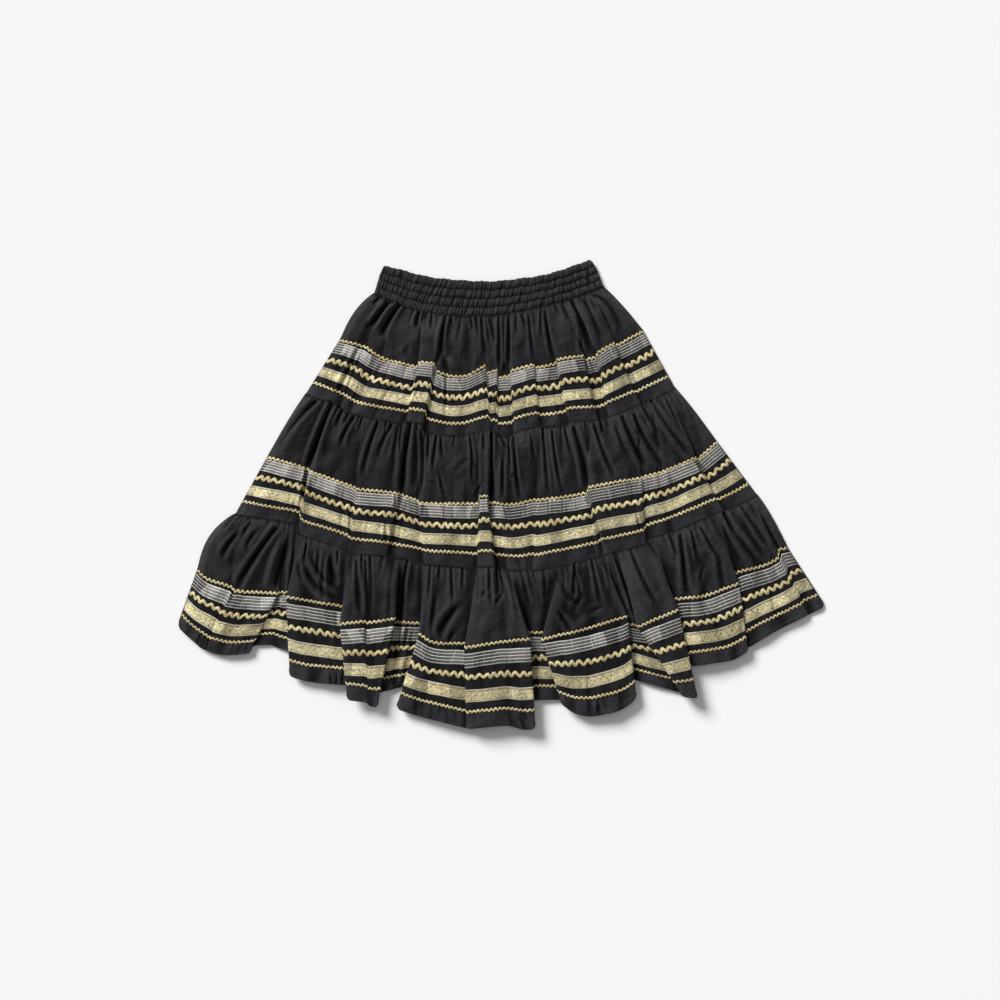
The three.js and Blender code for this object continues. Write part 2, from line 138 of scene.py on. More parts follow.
def along_and_across(tree):
    """The piece's own map: metres along the cloth and metres down it."""
    place = node(tree, "ShaderNodeUVMap", {"uv_map": "cloth"}, {})
    along = node(tree, "ShaderNodeSeparateXYZ", {}, {0: place})
    return along, along.beside(1)


def bump(tree, height, distance, strength=1.0, under=None):
    sockets = {"Height": height, "Distance": distance, "Strength": strength}
    if under is not None:
        sockets["Normal"] = under
    return node(tree, "ShaderNodeBump", {}, sockets)


COTTON_DARK = (0.0100, 0.0100, 0.0112)
COTTON_WORN = (0.0225, 0.0226, 0.0248)
THREAD_PITCH = 0.00055


def cotton(tree):
    """Black, painted darker as shade in the bottom of the creases, under the seams and between the
    trims, and painted greyer as light on the crests.
    """
    along, across = along_and_across(tree)
    painted_light_and_wear = node(tree, "ShaderNodeAttribute", {"attribute_name": "painted_light_and_wear"}, {}, "Fac")
    place = object_point(tree)
    warp = (along * (2 * math.pi / THREAD_PITCH)).maths("SINE")
    weft = (across * (2 * math.pi / THREAD_PITCH)).maths("SINE")
    slub = noise(tree, place, 420.0, 2.0)
    crumple = noise(tree, place, 42.0, 4.0, 0.6)
    shade = clamp(noise(tree, place, 9.0, 3.0) * 1.5 - 0.25)
    lint = clamp((noise(tree, place, 260.0, 2.0, 0.7) - 0.66) * 6.0)
    colour = blend_colours(tree, shade * 0.6 + slub * 0.4, COTTON_DARK, COTTON_WORN)
    colour = blend_colours(tree, lint * 0.25, colour, (0.09, 0.09, 0.095))
    weave = bump(tree, warp * weft + slub * 1.5, 0.00006, 0.5)
    return {
        # Painted light and shade from the stored attribute: darker in creases, paler on crests.
        "Base Color": shaded(tree, colour, 0.22 + painted_light_and_wear * 1.7),
        "Roughness": 0.72 + slub * 0.16,
        "Normal": bump(tree, crumple, 0.006, 1.0, weave),
    }


BLACK_COTTON = finish_of(
    "black cotton",
    {"Sheen Weight": 0.08, "Sheen Roughness": 0.4, "Specular IOR Level": 0.10},
    cotton)


def smoothed(values, sigma, closed=False):
    """Gaussian smoothing along the columns of rows x columns x anything."""
    reach = math.ceil(3 * sigma)
    weights = np.exp(-0.5 * (np.arange(-reach, reach + 1) / sigma) ** 2)
    weights /= weights.sum()
    count = values.shape[1]
    total = np.zeros_like(values)
    for offset, weight in zip(range(-reach, reach + 1), weights):
        index = np.arange(count) + offset
        index = index % count if closed else np.clip(index, 0, count - 1)
        total += weight * values[:, index]
    return total


def normals_of(points, closed):
    """Unit normals of a grid whose rows run down the cloth and whose columns run along it."""
    if closed:
        along = np.roll(points, -1, 1) - np.roll(points, 1, 1)
    else:
        along = np.gradient(points, axis=1)
    down = np.gradient(points, axis=0)
    normal = np.cross(down, along)
    return normal / np.maximum(np.linalg.norm(normal, axis=2, keepdims=True), 1e-9)


def travel(points, axis):
    """Distance walked to each point along one axis of a grid."""
    steps = np.linalg.norm(np.diff(points, axis=axis), axis=2)
    return np.insert(np.cumsum(steps, axis=axis), 0, 0, axis=axis)


def measure(points):
    """Distance along the cloth at each point, and distance down it."""
    along = travel(points, 1).mean(axis=0)
    return np.tile(along, (len(points), 1)), travel(points, 0)


def wall_of(points, thickness, extra=0.0):
    """The outer and inner faces of a cloth, with any extra thickness on the outside."""
    normal = normals_of(points, True)
    return points + normal * (thickness / 2 + extra), points - normal * thickness / 2


def shell(name, outer, inner, material, along=None, down=None):
    """A closed ring of cloth or trim between two grids of millimetre points."""
    rows, columns = outer.shape[:2]
    if along is None:
        along, down = measure(outer)
    vertices = np.concatenate([outer.reshape(-1, 3), inner.reshape(-1, 3)]) * MM
    left = np.arange(rows * columns).reshape(rows, columns)
    right = np.roll(left, -1, 1)
    below = rows * columns
    sheet = np.stack([left[:-1], left[1:], right[1:], right[:-1]], axis=-1).reshape(-1, 4)
    faces = [sheet, sheet[:, ::-1] + below]
    for edge, turn in ((0, 1), (rows - 1, -1)):
        rim = np.stack([left[edge], right[edge], right[edge] + below, left[edge] + below], -1)
        faces.append(rim[:, ::turn])
    uv = np.stack([along, down], axis=-1).reshape(-1, 2) * MM
    return mesh_piece(name, vertices, np.concatenate(faces), np.concatenate([uv, uv]), material)


def mesh_piece(name, vertices, faces, uv, material):
    """A smooth-shaded object from arrays of points, four-cornered faces and map points."""
    mesh = bpy.data.meshes.new(name)
    mesh.vertices.add(len(vertices))
    mesh.vertices.foreach_set("co", np.ascontiguousarray(vertices, dtype=np.float32).ravel())
    mesh.loops.add(faces.size)
    mesh.loops.foreach_set("vertex_index", np.ascontiguousarray(faces, dtype=np.int32).ravel())
    mesh.polygons.add(len(faces))
    mesh.polygons.foreach_set("loop_start", np.arange(0, faces.size, 4, dtype=np.int32))
    layer = mesh.uv_layers.new(name="cloth")
    mesh.update(calc_edges=True)
    layer.data.foreach_set("uv", uv[faces.ravel()].astype(np.float32).ravel())
    mesh.polygons.foreach_set("use_smooth", np.ones(len(faces), dtype=bool))
    mesh.materials.append(material)
    mesh.validate()
    piece = bpy.data.objects.new(name, mesh)
    bpy.context.collection.objects.link(piece)
    return piece


def relief(points, across, down):
    """How far each point of a ring stands out of the cloth around it, in millimetres."""
    flat = smoothed(points, across, True)
    flat = smoothed(flat.swapaxes(0, 1), down).swapaxes(0, 1)
    return ((points - flat) * normals_of(flat, True)).sum(axis=2)


def store_painted_light(piece, painted_light_and_wear):
    """Stores painted light and shade at each point of a shell, from 0, painted darkest, at the
    bottom of the creases to 1, painted palest, on the crests.
    """
    layer = piece.data.attributes.new("painted_light_and_wear", "FLOAT", "POINT")
    painted_light_and_wear = np.clip(painted_light_and_wear, 0, 1).ravel()
    layer.data.foreach_set("value", np.concatenate([painted_light_and_wear, painted_light_and_wear]).astype(np.float32))


# The band's edge points: top x, top y, seam x, seam y, from one end of it to the other.
BAND = np.array([
    (-181, 350, -194, 307), (-152, 343, -163, 293), (-112, 331, -138, 282),
    (-63, 327, -83, 272), (-13, 324, -18, 272), (27, 330, 10, 276),
    (59, 333, 53, 285), (94, 343, 108, 298), (139, 360, 155, 317)], dtype=float)
BAND_ROWS, BAND_COLUMNS = 33, 560
BAND_BACK_COLUMNS = 150
BAND_COLUMN_WIDTH = 0.57
BAND_CHANNELS = 4
BAND_RIB_PITCH, BAND_RIB_HEIGHT, BAND_CHANNEL_PUFF = 5.3, 2.7, 1.5
BAND_BACK_RELIEF = 0.12
BAND_FRONT_Z, BAND_BACK_Z = 5.6, 1.25
BAND_BACK_DIP = 46
BAND_CORNER = 7.0
BAND_THICKNESS = 1.2


def wander(at, *waves):
    """An uneven line: a sum of sines, each given as its length, size and start."""
    return sum(size * np.sin(2 * np.pi * (at / length) + start) for length, size, start in waves)


def curve_through(points, count):
    """Evenly spaced points on a smooth curve through the given ones."""
    at = np.linspace(0, len(points) - 1, count)
    base = np.stack([np.interp(at, np.arange(len(points)), p) for p in points.T], axis=1)
    ends = base[[0, -1]].copy()
    soft = smoothed(base[None], count / len(points) * 0.45)[0]
    ramp = np.clip(np.minimum(at, at[::-1]) / 0.8, 0, 1)[:, None]
    soft = base + (soft - base) * ramp
    soft[[0, -1]] = ends
    return soft


def corner_drop(inset, radius):
    """How far a rounded corner falls short of a square one, at each distance from its side."""
    return radius - np.sqrt(radius ** 2 - np.clip(radius - inset, 0, radius) ** 2)


def band_ring():
    """The middle of the band's cloth: its ribbed front, then its smoother back."""
    down = np.linspace(0, 1, BAND_ROWS)[:, None]
    edge = curve_through(BAND, BAND_COLUMNS)
    front = np.zeros((BAND_ROWS, BAND_COLUMNS, 3))
    front[..., 0] = edge[:, 0] * (1 - down) + edge[:, 2] * down
    front[..., 1] = edge[:, 1] * (1 - down) + edge[:, 3] * down
    column = np.arange(BAND_COLUMNS)
    inset = np.minimum(column, column[::-1]) * BAND_COLUMN_WIDTH
    front[..., 1] -= corner_drop(inset, BAND_CORNER) * np.clip(1 - down * 3, 0, 1)
    share = np.linspace(1, 0, BAND_BACK_COLUMNS + 2)[1:-1]
    back = front[:, :1] * (1 - share[:, None]) + front[:, -1:] * share[:, None]
    back[..., 1] -= BAND_BACK_DIP * np.sin(np.pi * share) ** 1.5
    ring = np.concatenate([front, back], axis=1)
    ring[:, :BAND_COLUMNS, 2] = BAND_BACK_Z + (BAND_FRONT_Z - BAND_BACK_Z) * (
        0.45 + 0.55 * np.clip(inset / 3, 0, 1) ** 0.5)
    ring[:, BAND_COLUMNS:, 2] = BAND_BACK_Z
    along, _ = measure(ring)
    depth = down * BAND_CHANNELS
    channel = np.abs(np.sin(np.pi * depth)) ** 0.6
    number = np.floor(np.clip(depth, 0, BAND_CHANNELS - 0.001))
    phase = along / BAND_RIB_PITCH + wander(along, (61, 0.55, 0.3), (23, 0.3, 1.1))
    phase = phase + wander(number * 37 + along, (83, 0.5, 0.7), (17.3, 0.3, 2.0))
    rib = np.abs(np.sin(np.pi * phase)) ** 0.75
    uneven = 0.78 + wander(along + number * 29, (13, 0.24, 0.2), (31, 0.24, 1.9))
    side = np.ones(ring.shape[1])
    side[BAND_COLUMNS:] = -BAND_BACK_RELIEF
    rib = BAND_RIB_HEIGHT * rib * uneven * (0.35 + 0.65 * channel)
    ring[..., 2] += side * (BAND_CHANNEL_PUFF * (channel - 1) + rib)
    ring[:, :BAND_COLUMNS, 1] += wander(along[:, :BAND_COLUMNS], (9.1, 0.35, 0), (31, 0.5, 1))
    return ring


band_points = band_ring()
waistband = shell("waistband", *wall_of(band_points, BAND_THICKNESS), BLACK_COTTON)
# Painted shade in the hollows between the ribs and painted light on their crests.
store_painted_light(waistband, 0.5 + 0.5 * np.tanh(relief(band_points, 5, 1.6) / 0.5))
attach(waistband, "root")
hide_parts("waistband_front", "waistband_back")

# ---------------------------------------------------------------------------------------
# Tiers: three strips of black cotton, each joined into a ring and gathered along its top
# edge into the piece above. Laid flat, the front of each falls into soft overlapping folds,
# and its back lies smooth on the ground.
# ---------------------------------------------------------------------------------------
CLOTH = 0.6
FRONT_LOW, BACK_Z = 3.0, 1.85
BACK_SPACING = 11.0
# A tier's top lies this far over the foot of the piece above and under its face. The first
# tier's top lies at one height all along the band.
SEAM_TUCK, BAND_SEAM_Z = 1.0, 4.2
# How far in from each side seam the front has risen to its own level.
EDGE_ROLL = 8.0
# A fold with no lap is a step: how far it reaches to each side, and the drop past which its
# line is kept firm.
STEP_HALF_WIDTH, LEAST_STEP = 1.3, 3
# A fold that laps turns twice: the spacing of its corners, how far the cloth rises at the
# tucked turn and how far it drops at the lapping one.
TURN_SPACING, OUTER_TURN, INNER_TURN = 2.4, 3.9, 2.5
# Cloth between two folds arches by a share of its width past the least that arches, up to
# the most that counts.
ARCH_SHARE, ARCH_LEAST, ARCH_MOST = 0.05, 12, 60
# How far along the cloth its line is rounded off away from folds, how far from a fold that
# rounding is reached, and how far the line of the foot is rounded off beside a fold.
LOOSE_REACH, FIRM_REACH, FOOT_REACH = 9.0, 22, 3.2
# The relief is calmed to a share at a fold that laps, and whole this far beside it.
FOLD_CALM, CALM_REACH = 0.12, 14
GATHER_DEPTH = 1.5
WAVE_DEPTH, WAVE_REACH = 1.7, 30
CREASE_DEPTH = 1.25
RIDGE_HEIGHT, RIDGE_AWAY, RIDGE_WIDTH = 0.55, 2.5, 1.2
SEAM_REACH = 12
HEM_CORNER = 8.0
HEM_DRAWN = 26
# The rows of points: close together below the seam above, evenly spaced from one distance
# below it to another above the foot, and close together again.
SEAM_ROWS = [0, 1.0, 2.2, 3.6, 5.4, 7.6, 10.4]
EVEN_FROM, EVEN_TO, EVEN_SPACING = 14, 13, 4.8
FOOT_ROWS = np.array([9, 6.8, 6.0, 5.2, 3.5, 1.8, 0.7, 0])
# The rolled hem: how much thicker the cloth is at each distance above its foot.
HEM_ROLL = [(0, 0.3), (0.7, 0.75), (3.5, 0.8), (5.2, 0.35), (6.0, 0.5), (6.8, 0.05), (9.0, 0)]

FOLD_FIELDS = ("top_x", "band_x", "foot_x", "band_lap", "foot_lap",
               "band_left", "band_right", "foot_left", "foot_right", "level")


def folds(*rows):
    return [dict(zip(FOLD_FIELDS, row)) for row in rows]


# Each fold's edge, from the left side seam to the right: where it lies across the top seam,
# the line of the upper rickrack and the foot, how far it laps, the y of the cloth on each
# side of it, and the height of the cloth to its right. Each crease: its two ends, its bend,
# depth and width. Each painted patch: its middle, its reach both ways and how much paler it is
# painted, or darker below 0, as painted light and shade where a panel catches or misses the
# light. The band, where the trims start, and each trim lie at a share of the tier's height.
# The bulge is how far the plain cloth above the band swells past each side, and the puff how
# far up. A tucked foot goes under the next tier. The back's top and foot sag in the middle.
# Smooth is how far along the cloth a fold's corners are rounded, and spacing is the distance
# between the columns of points.
TIERS = {
    1: {
        "faded": [(-60, 230, 80, 60, 0.04), (90, 235, 60, 40, 0.06)],
        "band": 0.47, "bulge": (9, 3), "puff": 5.0, "foot_tucked": True,
        "top_sag": 46, "foot_sag": 60, "smooth": 1.2, "spacing": 1.2, "height": 186,
        "trims": {"upper": 0.49, "silver": 0.558, "wide": 0.675, "braid": 0.787, "lower": 0.893},
        "folds": folds(
            (-194, -246, -299, 0, 0, 239, 239, 154, 154, 7),
            (-181, -216, -254, 0, 0, 232, 230, 138, 136, 5.5),
            (-170, -207, -245, 0, 0, 229, 228, 134, 132, 8),
            (-155, -181, -232, 0, 0, 210, 210, 123, 123, 10),
            (-119, -126, -146, 0, 0, 197, 206, 107, 112, 15),
            (-85, -101, -119, 0, 0, 204, 193, 109, 96, 9),
            (-72, -83, -88, 0, 0, 184, 184, 90, 90, 9),
            (-48, -55, -62, 0, 0, 182, 182, 90, 90, 9),
            (-21, -24, -17, 0, 0, 200, 187, 100, 94, 8),
            (-4, -6, -6, 0, 0, 194, 181, 94, 89, 5.5),
            (10, 13, 19, 0, 0, 184, 192, 90, 96, 10),
            (36, 50, 59, 0, 0, 203, 197, 106, 102, 8),
            (63, 83, 103, 0, 0, 202, 209, 107, 113, 12),
            (103, 125, 148, 0, 0, 215, 208, 114, 114, 6),
            (111, 145, 163, 0, 0, 212, 220, 118, 119, 11),
            (135, 171, 212, 0, 0, 235, 230, 138, 137, 8),
            (155, 215, 265, 0, 0, 253, 253, 163, 163, 7)),
        "creases": [
            (-187, 299, -197, 290, 0, 3, 2), (-174, 296, -206, 252, -3, 5, 3),
            (-168, 293, -197, 258, 3, 5, 2.5), (-154, 290, -184, 239, 3, 6.5, 3),
            (-125, 279, -129, 253, 2, 6, 2.2), (-106, 279, -108, 250, 0, 2.5, 1.6),
            (-85, 272, -93, 216, 2, 6, 2.2), (-76, 272, -76, 259, 0, 3, 1.5),
            (-62, 273, -68, 229, 0, 1.6, 2.2), (-47, 270, -44, 250, 0, 3.5, 1.5),
            (-39, 272, -33, 233, 0, 2.5, 1.8), (-30, 270, -24, 215, 2, 3.5, 2),
            (-18, 269, -5, 215, 0, 2.2, 2), (-4, 272, -4, 195, 0, 5, 1.8),
            (11, 279, 11, 195, 0, 4, 1.8), (22, 275, 22, 243, 0, 2.5, 1.6),
            (30, 275, 37, 256, 0, 3.5, 1.6), (41, 276, 48, 206, 0, 2.2, 1.8),
            (60, 281, 60, 239, 0, 2.5, 1.6), (67, 282, 80, 207, 2, 4, 2),
            (80, 293, 85, 279, 0, 3.5, 1.5), (91, 288, 100, 265, -2, 4, 1.8),
            (100, 293, 103, 284, 0, 3, 1.3), (106, 296, 138, 215, -3, 8, 3.4),
            (116, 239, 125, 215, 0, 3, 2), (125, 299, 152, 239, 0, 2.6, 2.4),
            (140, 305, 181, 250, -8, 3, 3.5), (149, 302, 161, 291, 0, 3.5, 2),
            (-142, 229, -149, 212, 0, 1.5, 3), (-48, 252, -54, 198, 0, 1.5, 5),
            (33, 244, 25, 203, 0, 1.3, 5), (-85, 187, -85, 119, 0, 2.2, 1.5),
            (-216, 230, -252, 151, 0, 5, 2.4), (-186, 206, -190, 181, 0, 2.4, 1.8),
            (134, 203, 145, 186, 0, 3, 2), (105, 197, 112, 183, 0, -1.4, 0.9),
            (-88, 212, -85, 187, 0, 5, 4), (5, 206, 5, 181, 0, 2.5, 4)],
    },
    2: {
        "faded": [(-210, 60, 110, 60, -0.15), (-60, 40, 70, 60, -0.04), (30, 10, 40, 60, -0.05)],
        "band": 0.49, "bulge": (2, 2), "puff": 5.4, "foot_tucked": True,
        "top_sag": 60, "foot_sag": 94, "smooth": 1.2, "spacing": 1.35, "height": 206,
        "trims": {"upper": 0.508, "silver": 0.571, "wide": 0.677, "braid": 0.791, "lower": 0.89},
        "folds": folds(
            (-299, -357, -407, 0, 0, 60, 60, -30, -30, 7),
            (-257, -295, -310, 0, 0, 42, 40, -44, -61, 12),
            (-213, -221, -235, 0, 0, 14, 11, -83, -89, 13),
            (-158, -154, -175, 0, 0, 5, 2, -94, -94, 7),
            (-123, -126, -119, 0, 0, -7, -10, -104, -106, 10),
            (-36, -34, -37, 0, 0, -11, 1, -113, -109, 14),
            (-22, -21, -10, 0, 0, 2, -11, -109, -114, 6),
            (-6, -8, 10, 0, 0, -10, -9, -115, -116, 9),
            (12, 5, 28, 0, 0, -14, -15, -116, -116, 8),
            (60, 53, 48, 0, 0, -4, -5, -113, -117, 10),
            (135, 131, 154, 0, 0, 5, 15, -95, -91, 14),
            (200, 213, 220, 0, 0, 28, 30, -77, -67, 10),
            (227, 246, 261, 0, 0, 37, 39, -57, -56, 13),
            (249, 296, 337, 0, 0, 59, 54, -24, -26, 8),
            (265, 328, 391, 0, 0, 83, 83, -1, -1, 7)),
        "creases": [
            (-281, 143, -348, 63, 5, 4.5, 3.5), (-256, 145, -298, 25, 3, 8, 3.2),
            (-243, 129, -253, 102, 0, 4.5, 2), (-232, 125, -239, 108, 0, 2.5, 1.5),
            (-223, 119, -246, 73, 3, 4.5, 2.2), (-212, 117, -218, 96, 0, 2.5, 1.5),
            (-187, 112, -213, 28, 2, 4.5, 2.4), (-175, 111, -178, 93, 0, 2.5, 1.5),
            (-166, 108, -189, 59, 2, 4.5, 2), (-158, 103, -166, 50, 0, 2.5, 1.8),
            (-138, 112, -152, 4, 2, 8, 3.2), (-123, 97, -126, -4, -5, 4, 2.2),
            (-112, 90, -114, 22, 0, 2.6, 1.8), (-99, 90, -106, 36, 0, 3.6, 1.8),
            (-96, 37, -88, -4, 0, 2.4, 1.8), (-93, 88, -90, 53, 0, 2.4, 1.6),
            (-71, 90, -74, 74, 0, 2.6, 1.4), (-48, 90, -42, 37, 0, 3.6, 1.5),
            (-47, 68, -45, 16, 0, 2, 1.5), (-28, 24, -41, -5, 0, 2.4, 2),
            (-28, 93, -27, 65, 0, 2.4, 1.5), (-16, 97, -15, -7, 0, 7, 2.4),
            (-2, 88, 8, 70, 0, 3.6, 1.8), (2, 65, 2, -7, 0, 4.6, 1.8),
            (11, 83, 13, 41, 0, 2.4, 1.5), (10, 33, 24, 25, 0, 3.2, 1.8),
            (19, 90, 28, -7, 2, 5, 1.9), (44, 94, 50, 48, 0, 2, 1.6),
            (63, 102, 71, -2, 0, 3, 1.8), (77, 99, 93, 1, 2, 4, 1.7),
            (96, 102, 106, 59, 0, 3.4, 1.8), (109, 103, 132, 7, -3, 7, 3.2),
            (126, 112, 131, 96, 0, 2.6, 1.4), (140, 109, 171, 27, 2, 5, 2),
            (148, 117, 155, 96, 0, 3.2, 1.6), (171, 108, 187, 65, 0, 3.6, 1.8),
            (183, 120, 220, 41, 2, 7.5, 2.8), (201, 123, 244, 44, 3, 6, 2.6),
            (212, 138, 239, 93, 0, 3.4, 1.8), (227, 145, 287, 59, 3, 7, 2.6),
            (250, 146, 272, 103, 0, 2.8, 1.8), (275, 149, 298, 108, 0, 2.6, 2.2),
            (-79, 30, -48, 60, 0, 1.2, 3), (164, 50, 184, 56, 0, 1.6, 2),
            (-295, 44, -305, -16, 0, 6, 2.4), (-241, 13, -246, -7, 0, -1.4, 0.9),
            (-163, 2, -160, -21, 0, 2.2, 1.4), (-90, -15, -90, -36, 0, -1.4, 0.9),
            (-119, -10, -119, -33, 0, 1.8, 1.6), (2, -13, 10, -39, 0, 3, 1.5),
            (36, -10, 39, -33, 0, 2, 1.5), (71, -7, 73, -31, 0, 2.2, 1.2),
            (93, -5, 94, -28, 0, 2.2, 1.2), (109, -5, 114, -28, 0, -1.4, 0.9),
            (148, 5, 154, -15, 0, -1.4, 0.9), (168, 8, 175, -10, 0, -1.4, 0.9),
            (195, 18, 198, -1, 0, -1.2, 0.9), (207, 21, 206, 2, 0, -1.2, 0.9),
            (220, 22, 224, 5, 0, -1.4, 0.9), (253, 33, 262, 11, 0, 3, 1.6),
            (296, 51, 307, 33, 0, 3.4, 1.6), (314, 54, 321, 36, 0, -1.2, 0.9),
            (-232, -16, -229, -70, 0, 2, 1.6), (-177, -36, -175, -77, 0, 2.4, 1.8),
            (204, -24, 210, -51, 0, 2.6, 1.4), (142, -27, 154, -94, 0, 4, 2)],
    },
    3: {
        "faded": [(-395, -95, 50, 60, -0.13), (-290, -120, 50, 60, -0.13),
                  (-175, -150, 60, 60, -0.22), (-10, -185, 45, 60, 0.18),
                  (110, -160, 46, 70, -0.46), (215, -130, 40, 60, 0.04),
                  (330, -100, 60, 60, -0.13)],
        "band": 0.48, "bulge": (16, 3), "puff": 6.5, "foot_tucked": False,
        "top_sag": 94, "foot_sag": 124, "smooth": 1.6, "spacing": 1.9, "height": 241,
        "trims": {"upper": 0.482, "silver": 0.569, "wide": 0.677, "braid": 0.793, "lower": 0.891},
        "folds": folds(
            (-407, -465, -496, 0, 0, -114, -114, -201, -201, 7),
            (-397, -452, -478, 0, 0, -129, -129, -218, -218, 8),
            (-386, -409, -457, 0, 0, -142, -148, -235, -236, 9),
            (-366, -385, -428, 0, 0, -149, -149, -246, -246, 9),
            (-324, -340, -383, 0, 0, -151, -149, -243, -230, 5),
            (-317, -334, -348, 0, 0, -149, -149, -229, -233, 5),
            (-308, -328, -324, 8, 14, -148, -155, -243, -278, 13),
            (-284, -301, -285, 0, 0, -160, -160, -287, -287, 13),
            (-232, -246, -235, 6, 8, -171, -197, -291, -313, 21),
            (-204, -207, -203, 0, 0, -192, -195, -316, -322, 20),
            (-155, -161, -189, 8, 8, -187, -194, -324, -305, 5),
            (-119, -126, -161, 9, 12, -197, -213, -293, -327, 13),
            (-94, -103, -119, 0, 0, -226, -226, -340, -340, 14),
            (-37, -57, -54, 8, 5, -226, -232, -357, -357, 21),
            (-5, 5, 16, 0, 0, -224, -224, -350, -353, 20),
            (1, 21, 33, 0, 0, -221, -221, -359, -359, 20),
            (12, 44, 52, 8, 12, -220, -210, -357, -314, 5),
            (90, 60, 91, 6, 8, -210, -221, -313, -319, 16),
            (117, 90, 111, 0, 0, -213, -213, -334, -334, 17),
            (132, 135, 135, 0, 0, -203, -203, -339, -339, 17),
            (146, 174, 181, 0, 0, -190, -190, -330, -330, 16),
            (155, 192, 206, 8, 9, -184, -197, -311, -281, 5),
            (174, 206, 276, 9, 5, -200, -201, -305, -308, 23),
            (227, 269, 298, 8, 11, -175, -160, -310, -262, 15.5),
            (288, 307, 353, 0, 0, -155, -155, -253, -253, 14),
            (325, 362, 376, 6, 3, -135, -119, -238, -236, 8),
            (357, 396, 429, 0, 0, -111, -111, -203, -203, 7),
            (374, 423, 469, 0, 0, -99, -83, -184, -183, 5),
            (391, 438, 496, 0, 0, -82, -82, -171, -171, 5)),
        "creases": [
            (-406, -31, -425, -54, 0, 3, 2), (-396, -54, -428, -97, 3, 5, 2.6),
            (-382, -42, -396, -63, 0, 3, 1.8), (-366, -48, -391, -82, 2, 3.6, 2),
            (-342, -50, -405, -145, 3, 7, 3), (-324, -63, -344, -149, 2, 9, 5),
            (-308, -70, -314, -94, 0, 3, 1.6), (-296, -74, -301, -102, 0, 3, 1.6),
            (-279, -80, -279, -123, 0, 3, 1.8), (-267, -83, -272, -161, 2, 3.6, 2),
            (-249, -86, -250, -116, 0, 3.2, 1.6), (-229, -90, -229, -138, 0, 4, 1.8),
            (-213, -90, -210, -131, 0, 2.6, 1.6), (-200, -90, -198, -177, 0, 3.6, 1.9),
            (-180, -88, -186, -123, 0, 2.8, 1.6), (-163, -90, -172, -223, 2, 4.4, 2.2),
            (-142, -94, -155, -195, 2, 5, 2.4), (-123, -99, -125, -134, 0, 3, 1.6),
            (-108, -102, -112, -161, 0, 3.6, 1.8), (-94, -105, -96, -131, 0, 2.6, 1.5),
            (-77, -106, -74, -169, 0, 3.4, 1.8), (-60, -164, -94, -223, 3, 3, 4),
            (-59, -109, -60, -146, 0, 3, 1.6), (-36, -111, -37, -161, 0, 4, 1.8),
            (-19, -112, -16, -171, 0, 3, 1.8), (-4, -112, 5, -149, 0, 3, 1.6),
            (10, -109, 28, -192, 0, 5, 2.2), (28, -109, 42, -171, 0, 4.4, 2),
            (45, -105, 53, -137, 0, 2.6, 1.5), (63, -100, 68, -171, 0, 3.4, 1.8),
            (77, -97, 82, -123, 0, 2.6, 1.5), (91, -96, 96, -155, 0, 3.2, 1.8),
            (112, -93, 109, -166, 0, 4, 1.8), (125, -146, 106, -180, 0, 2.6, 2.6),
            (135, -90, 151, -168, 0, 3.6, 1.9), (155, -88, 169, -146, 0, 4.4, 2),
            (172, -82, 213, -195, 2, 7, 2.8), (194, -80, 235, -168, 2, 5, 2.4),
            (220, -68, 247, -109, 0, 5, 2.2), (230, -65, 255, -146, 0, 3, 2),
            (255, -60, 267, -94, 0, 3, 1.8), (272, -59, 282, -152, 0, 6, 2.6),
            (288, -54, 299, -100, 0, 3.2, 1.8), (302, -50, 331, -100, 0, 4, 2),
            (321, -42, 337, -70, 0, 3, 1.8), (337, -27, 394, -111, 3, 7, 3),
            (365, -19, 408, -82, 0, 4.6, 2.4), (391, -15, 435, -100, 3, 4, 2.4),
            (-385, -161, -397, -200, 0, 1.6, 4), (5, -161, -2, -223, 0, 1.5, 5),
            (304, -131, 313, -192, 0, 1.5, 5), (-304, -97, -247, -161, 11, 4.5, 3.6),
            (-291, -88, -246, -148, 8, 4, 3), (-314, -82, -302, -134, 3, 2.6, 2.6),
            (-261, -90, -255, -143, 0, 7, 4.4), (83, -116, 114, -166, 6, 4, 2.6),
            (83, -174, 106, -209, 0, 5, 2.4), (111, -109, 120, -155, 0, 3, 1.5),
            (100, -157, 120, -166, 0, 3.4, 2), (157, -168, 128, -180, 0, 2.6, 2.4),
            (-60, -163, -97, -220, 6, 7, 3.8), (-71, -206, -83, -224, 0, 3.4, 2.4),
            (-100, -146, -108, -216, 0, 2.6, 2.4), (5, -146, -11, -166, 0, 4, 1.6),
            (-15, -138, -33, -155, 0, 2.8, 1.8), (-221, -100, -215, -189, 0, 2.6, 2.6),
            (-207, -100, -201, -192, 0, 3, 2), (313, -103, 302, -135, 3, 2.4, 1.6),
            (328, -77, 337, -146, 0, 2.8, 3), (362, -62, 391, -102, 0, 4, 2),
            (-347, -158, -333, -183, 0, 4.4, 2), (-409, -146, -414, -171, 0, 3, 1.6),
            (-207, -195, -206, -227, 0, 2.4, 1.2), (106, -223, 109, -239, 0, -1.4, 0.9),
            (137, -216, 142, -233, 0, -1.4, 0.9), (160, -212, 161, -230, 0, -1.4, 0.9),
            (230, -209, 236, -233, 0, -1.6, 1.2), (285, -161, 285, -189, 0, -1.4, 0.9),
            (-154, -161, -164, -299, 0, 8, 3.6), (-142, -195, -154, -256, 0, 4, 2),
            (-262, -265, -259, -291, 0, 3.4, 1.2), (-252, -265, -250, -291, 0, 2.6, 1.2),
            (-241, -265, -243, -291, 0, 3.4, 1.2), (-93, -314, -94, -333, 0, 1.4, 1.6),
            (146, -311, 149, -336, 0, 2.4, 2), (28, -339, 36, -356, 0, 2, 1.6),
            (371, -174, 365, -223, 0, 2.6, 2.4)],
    },
}


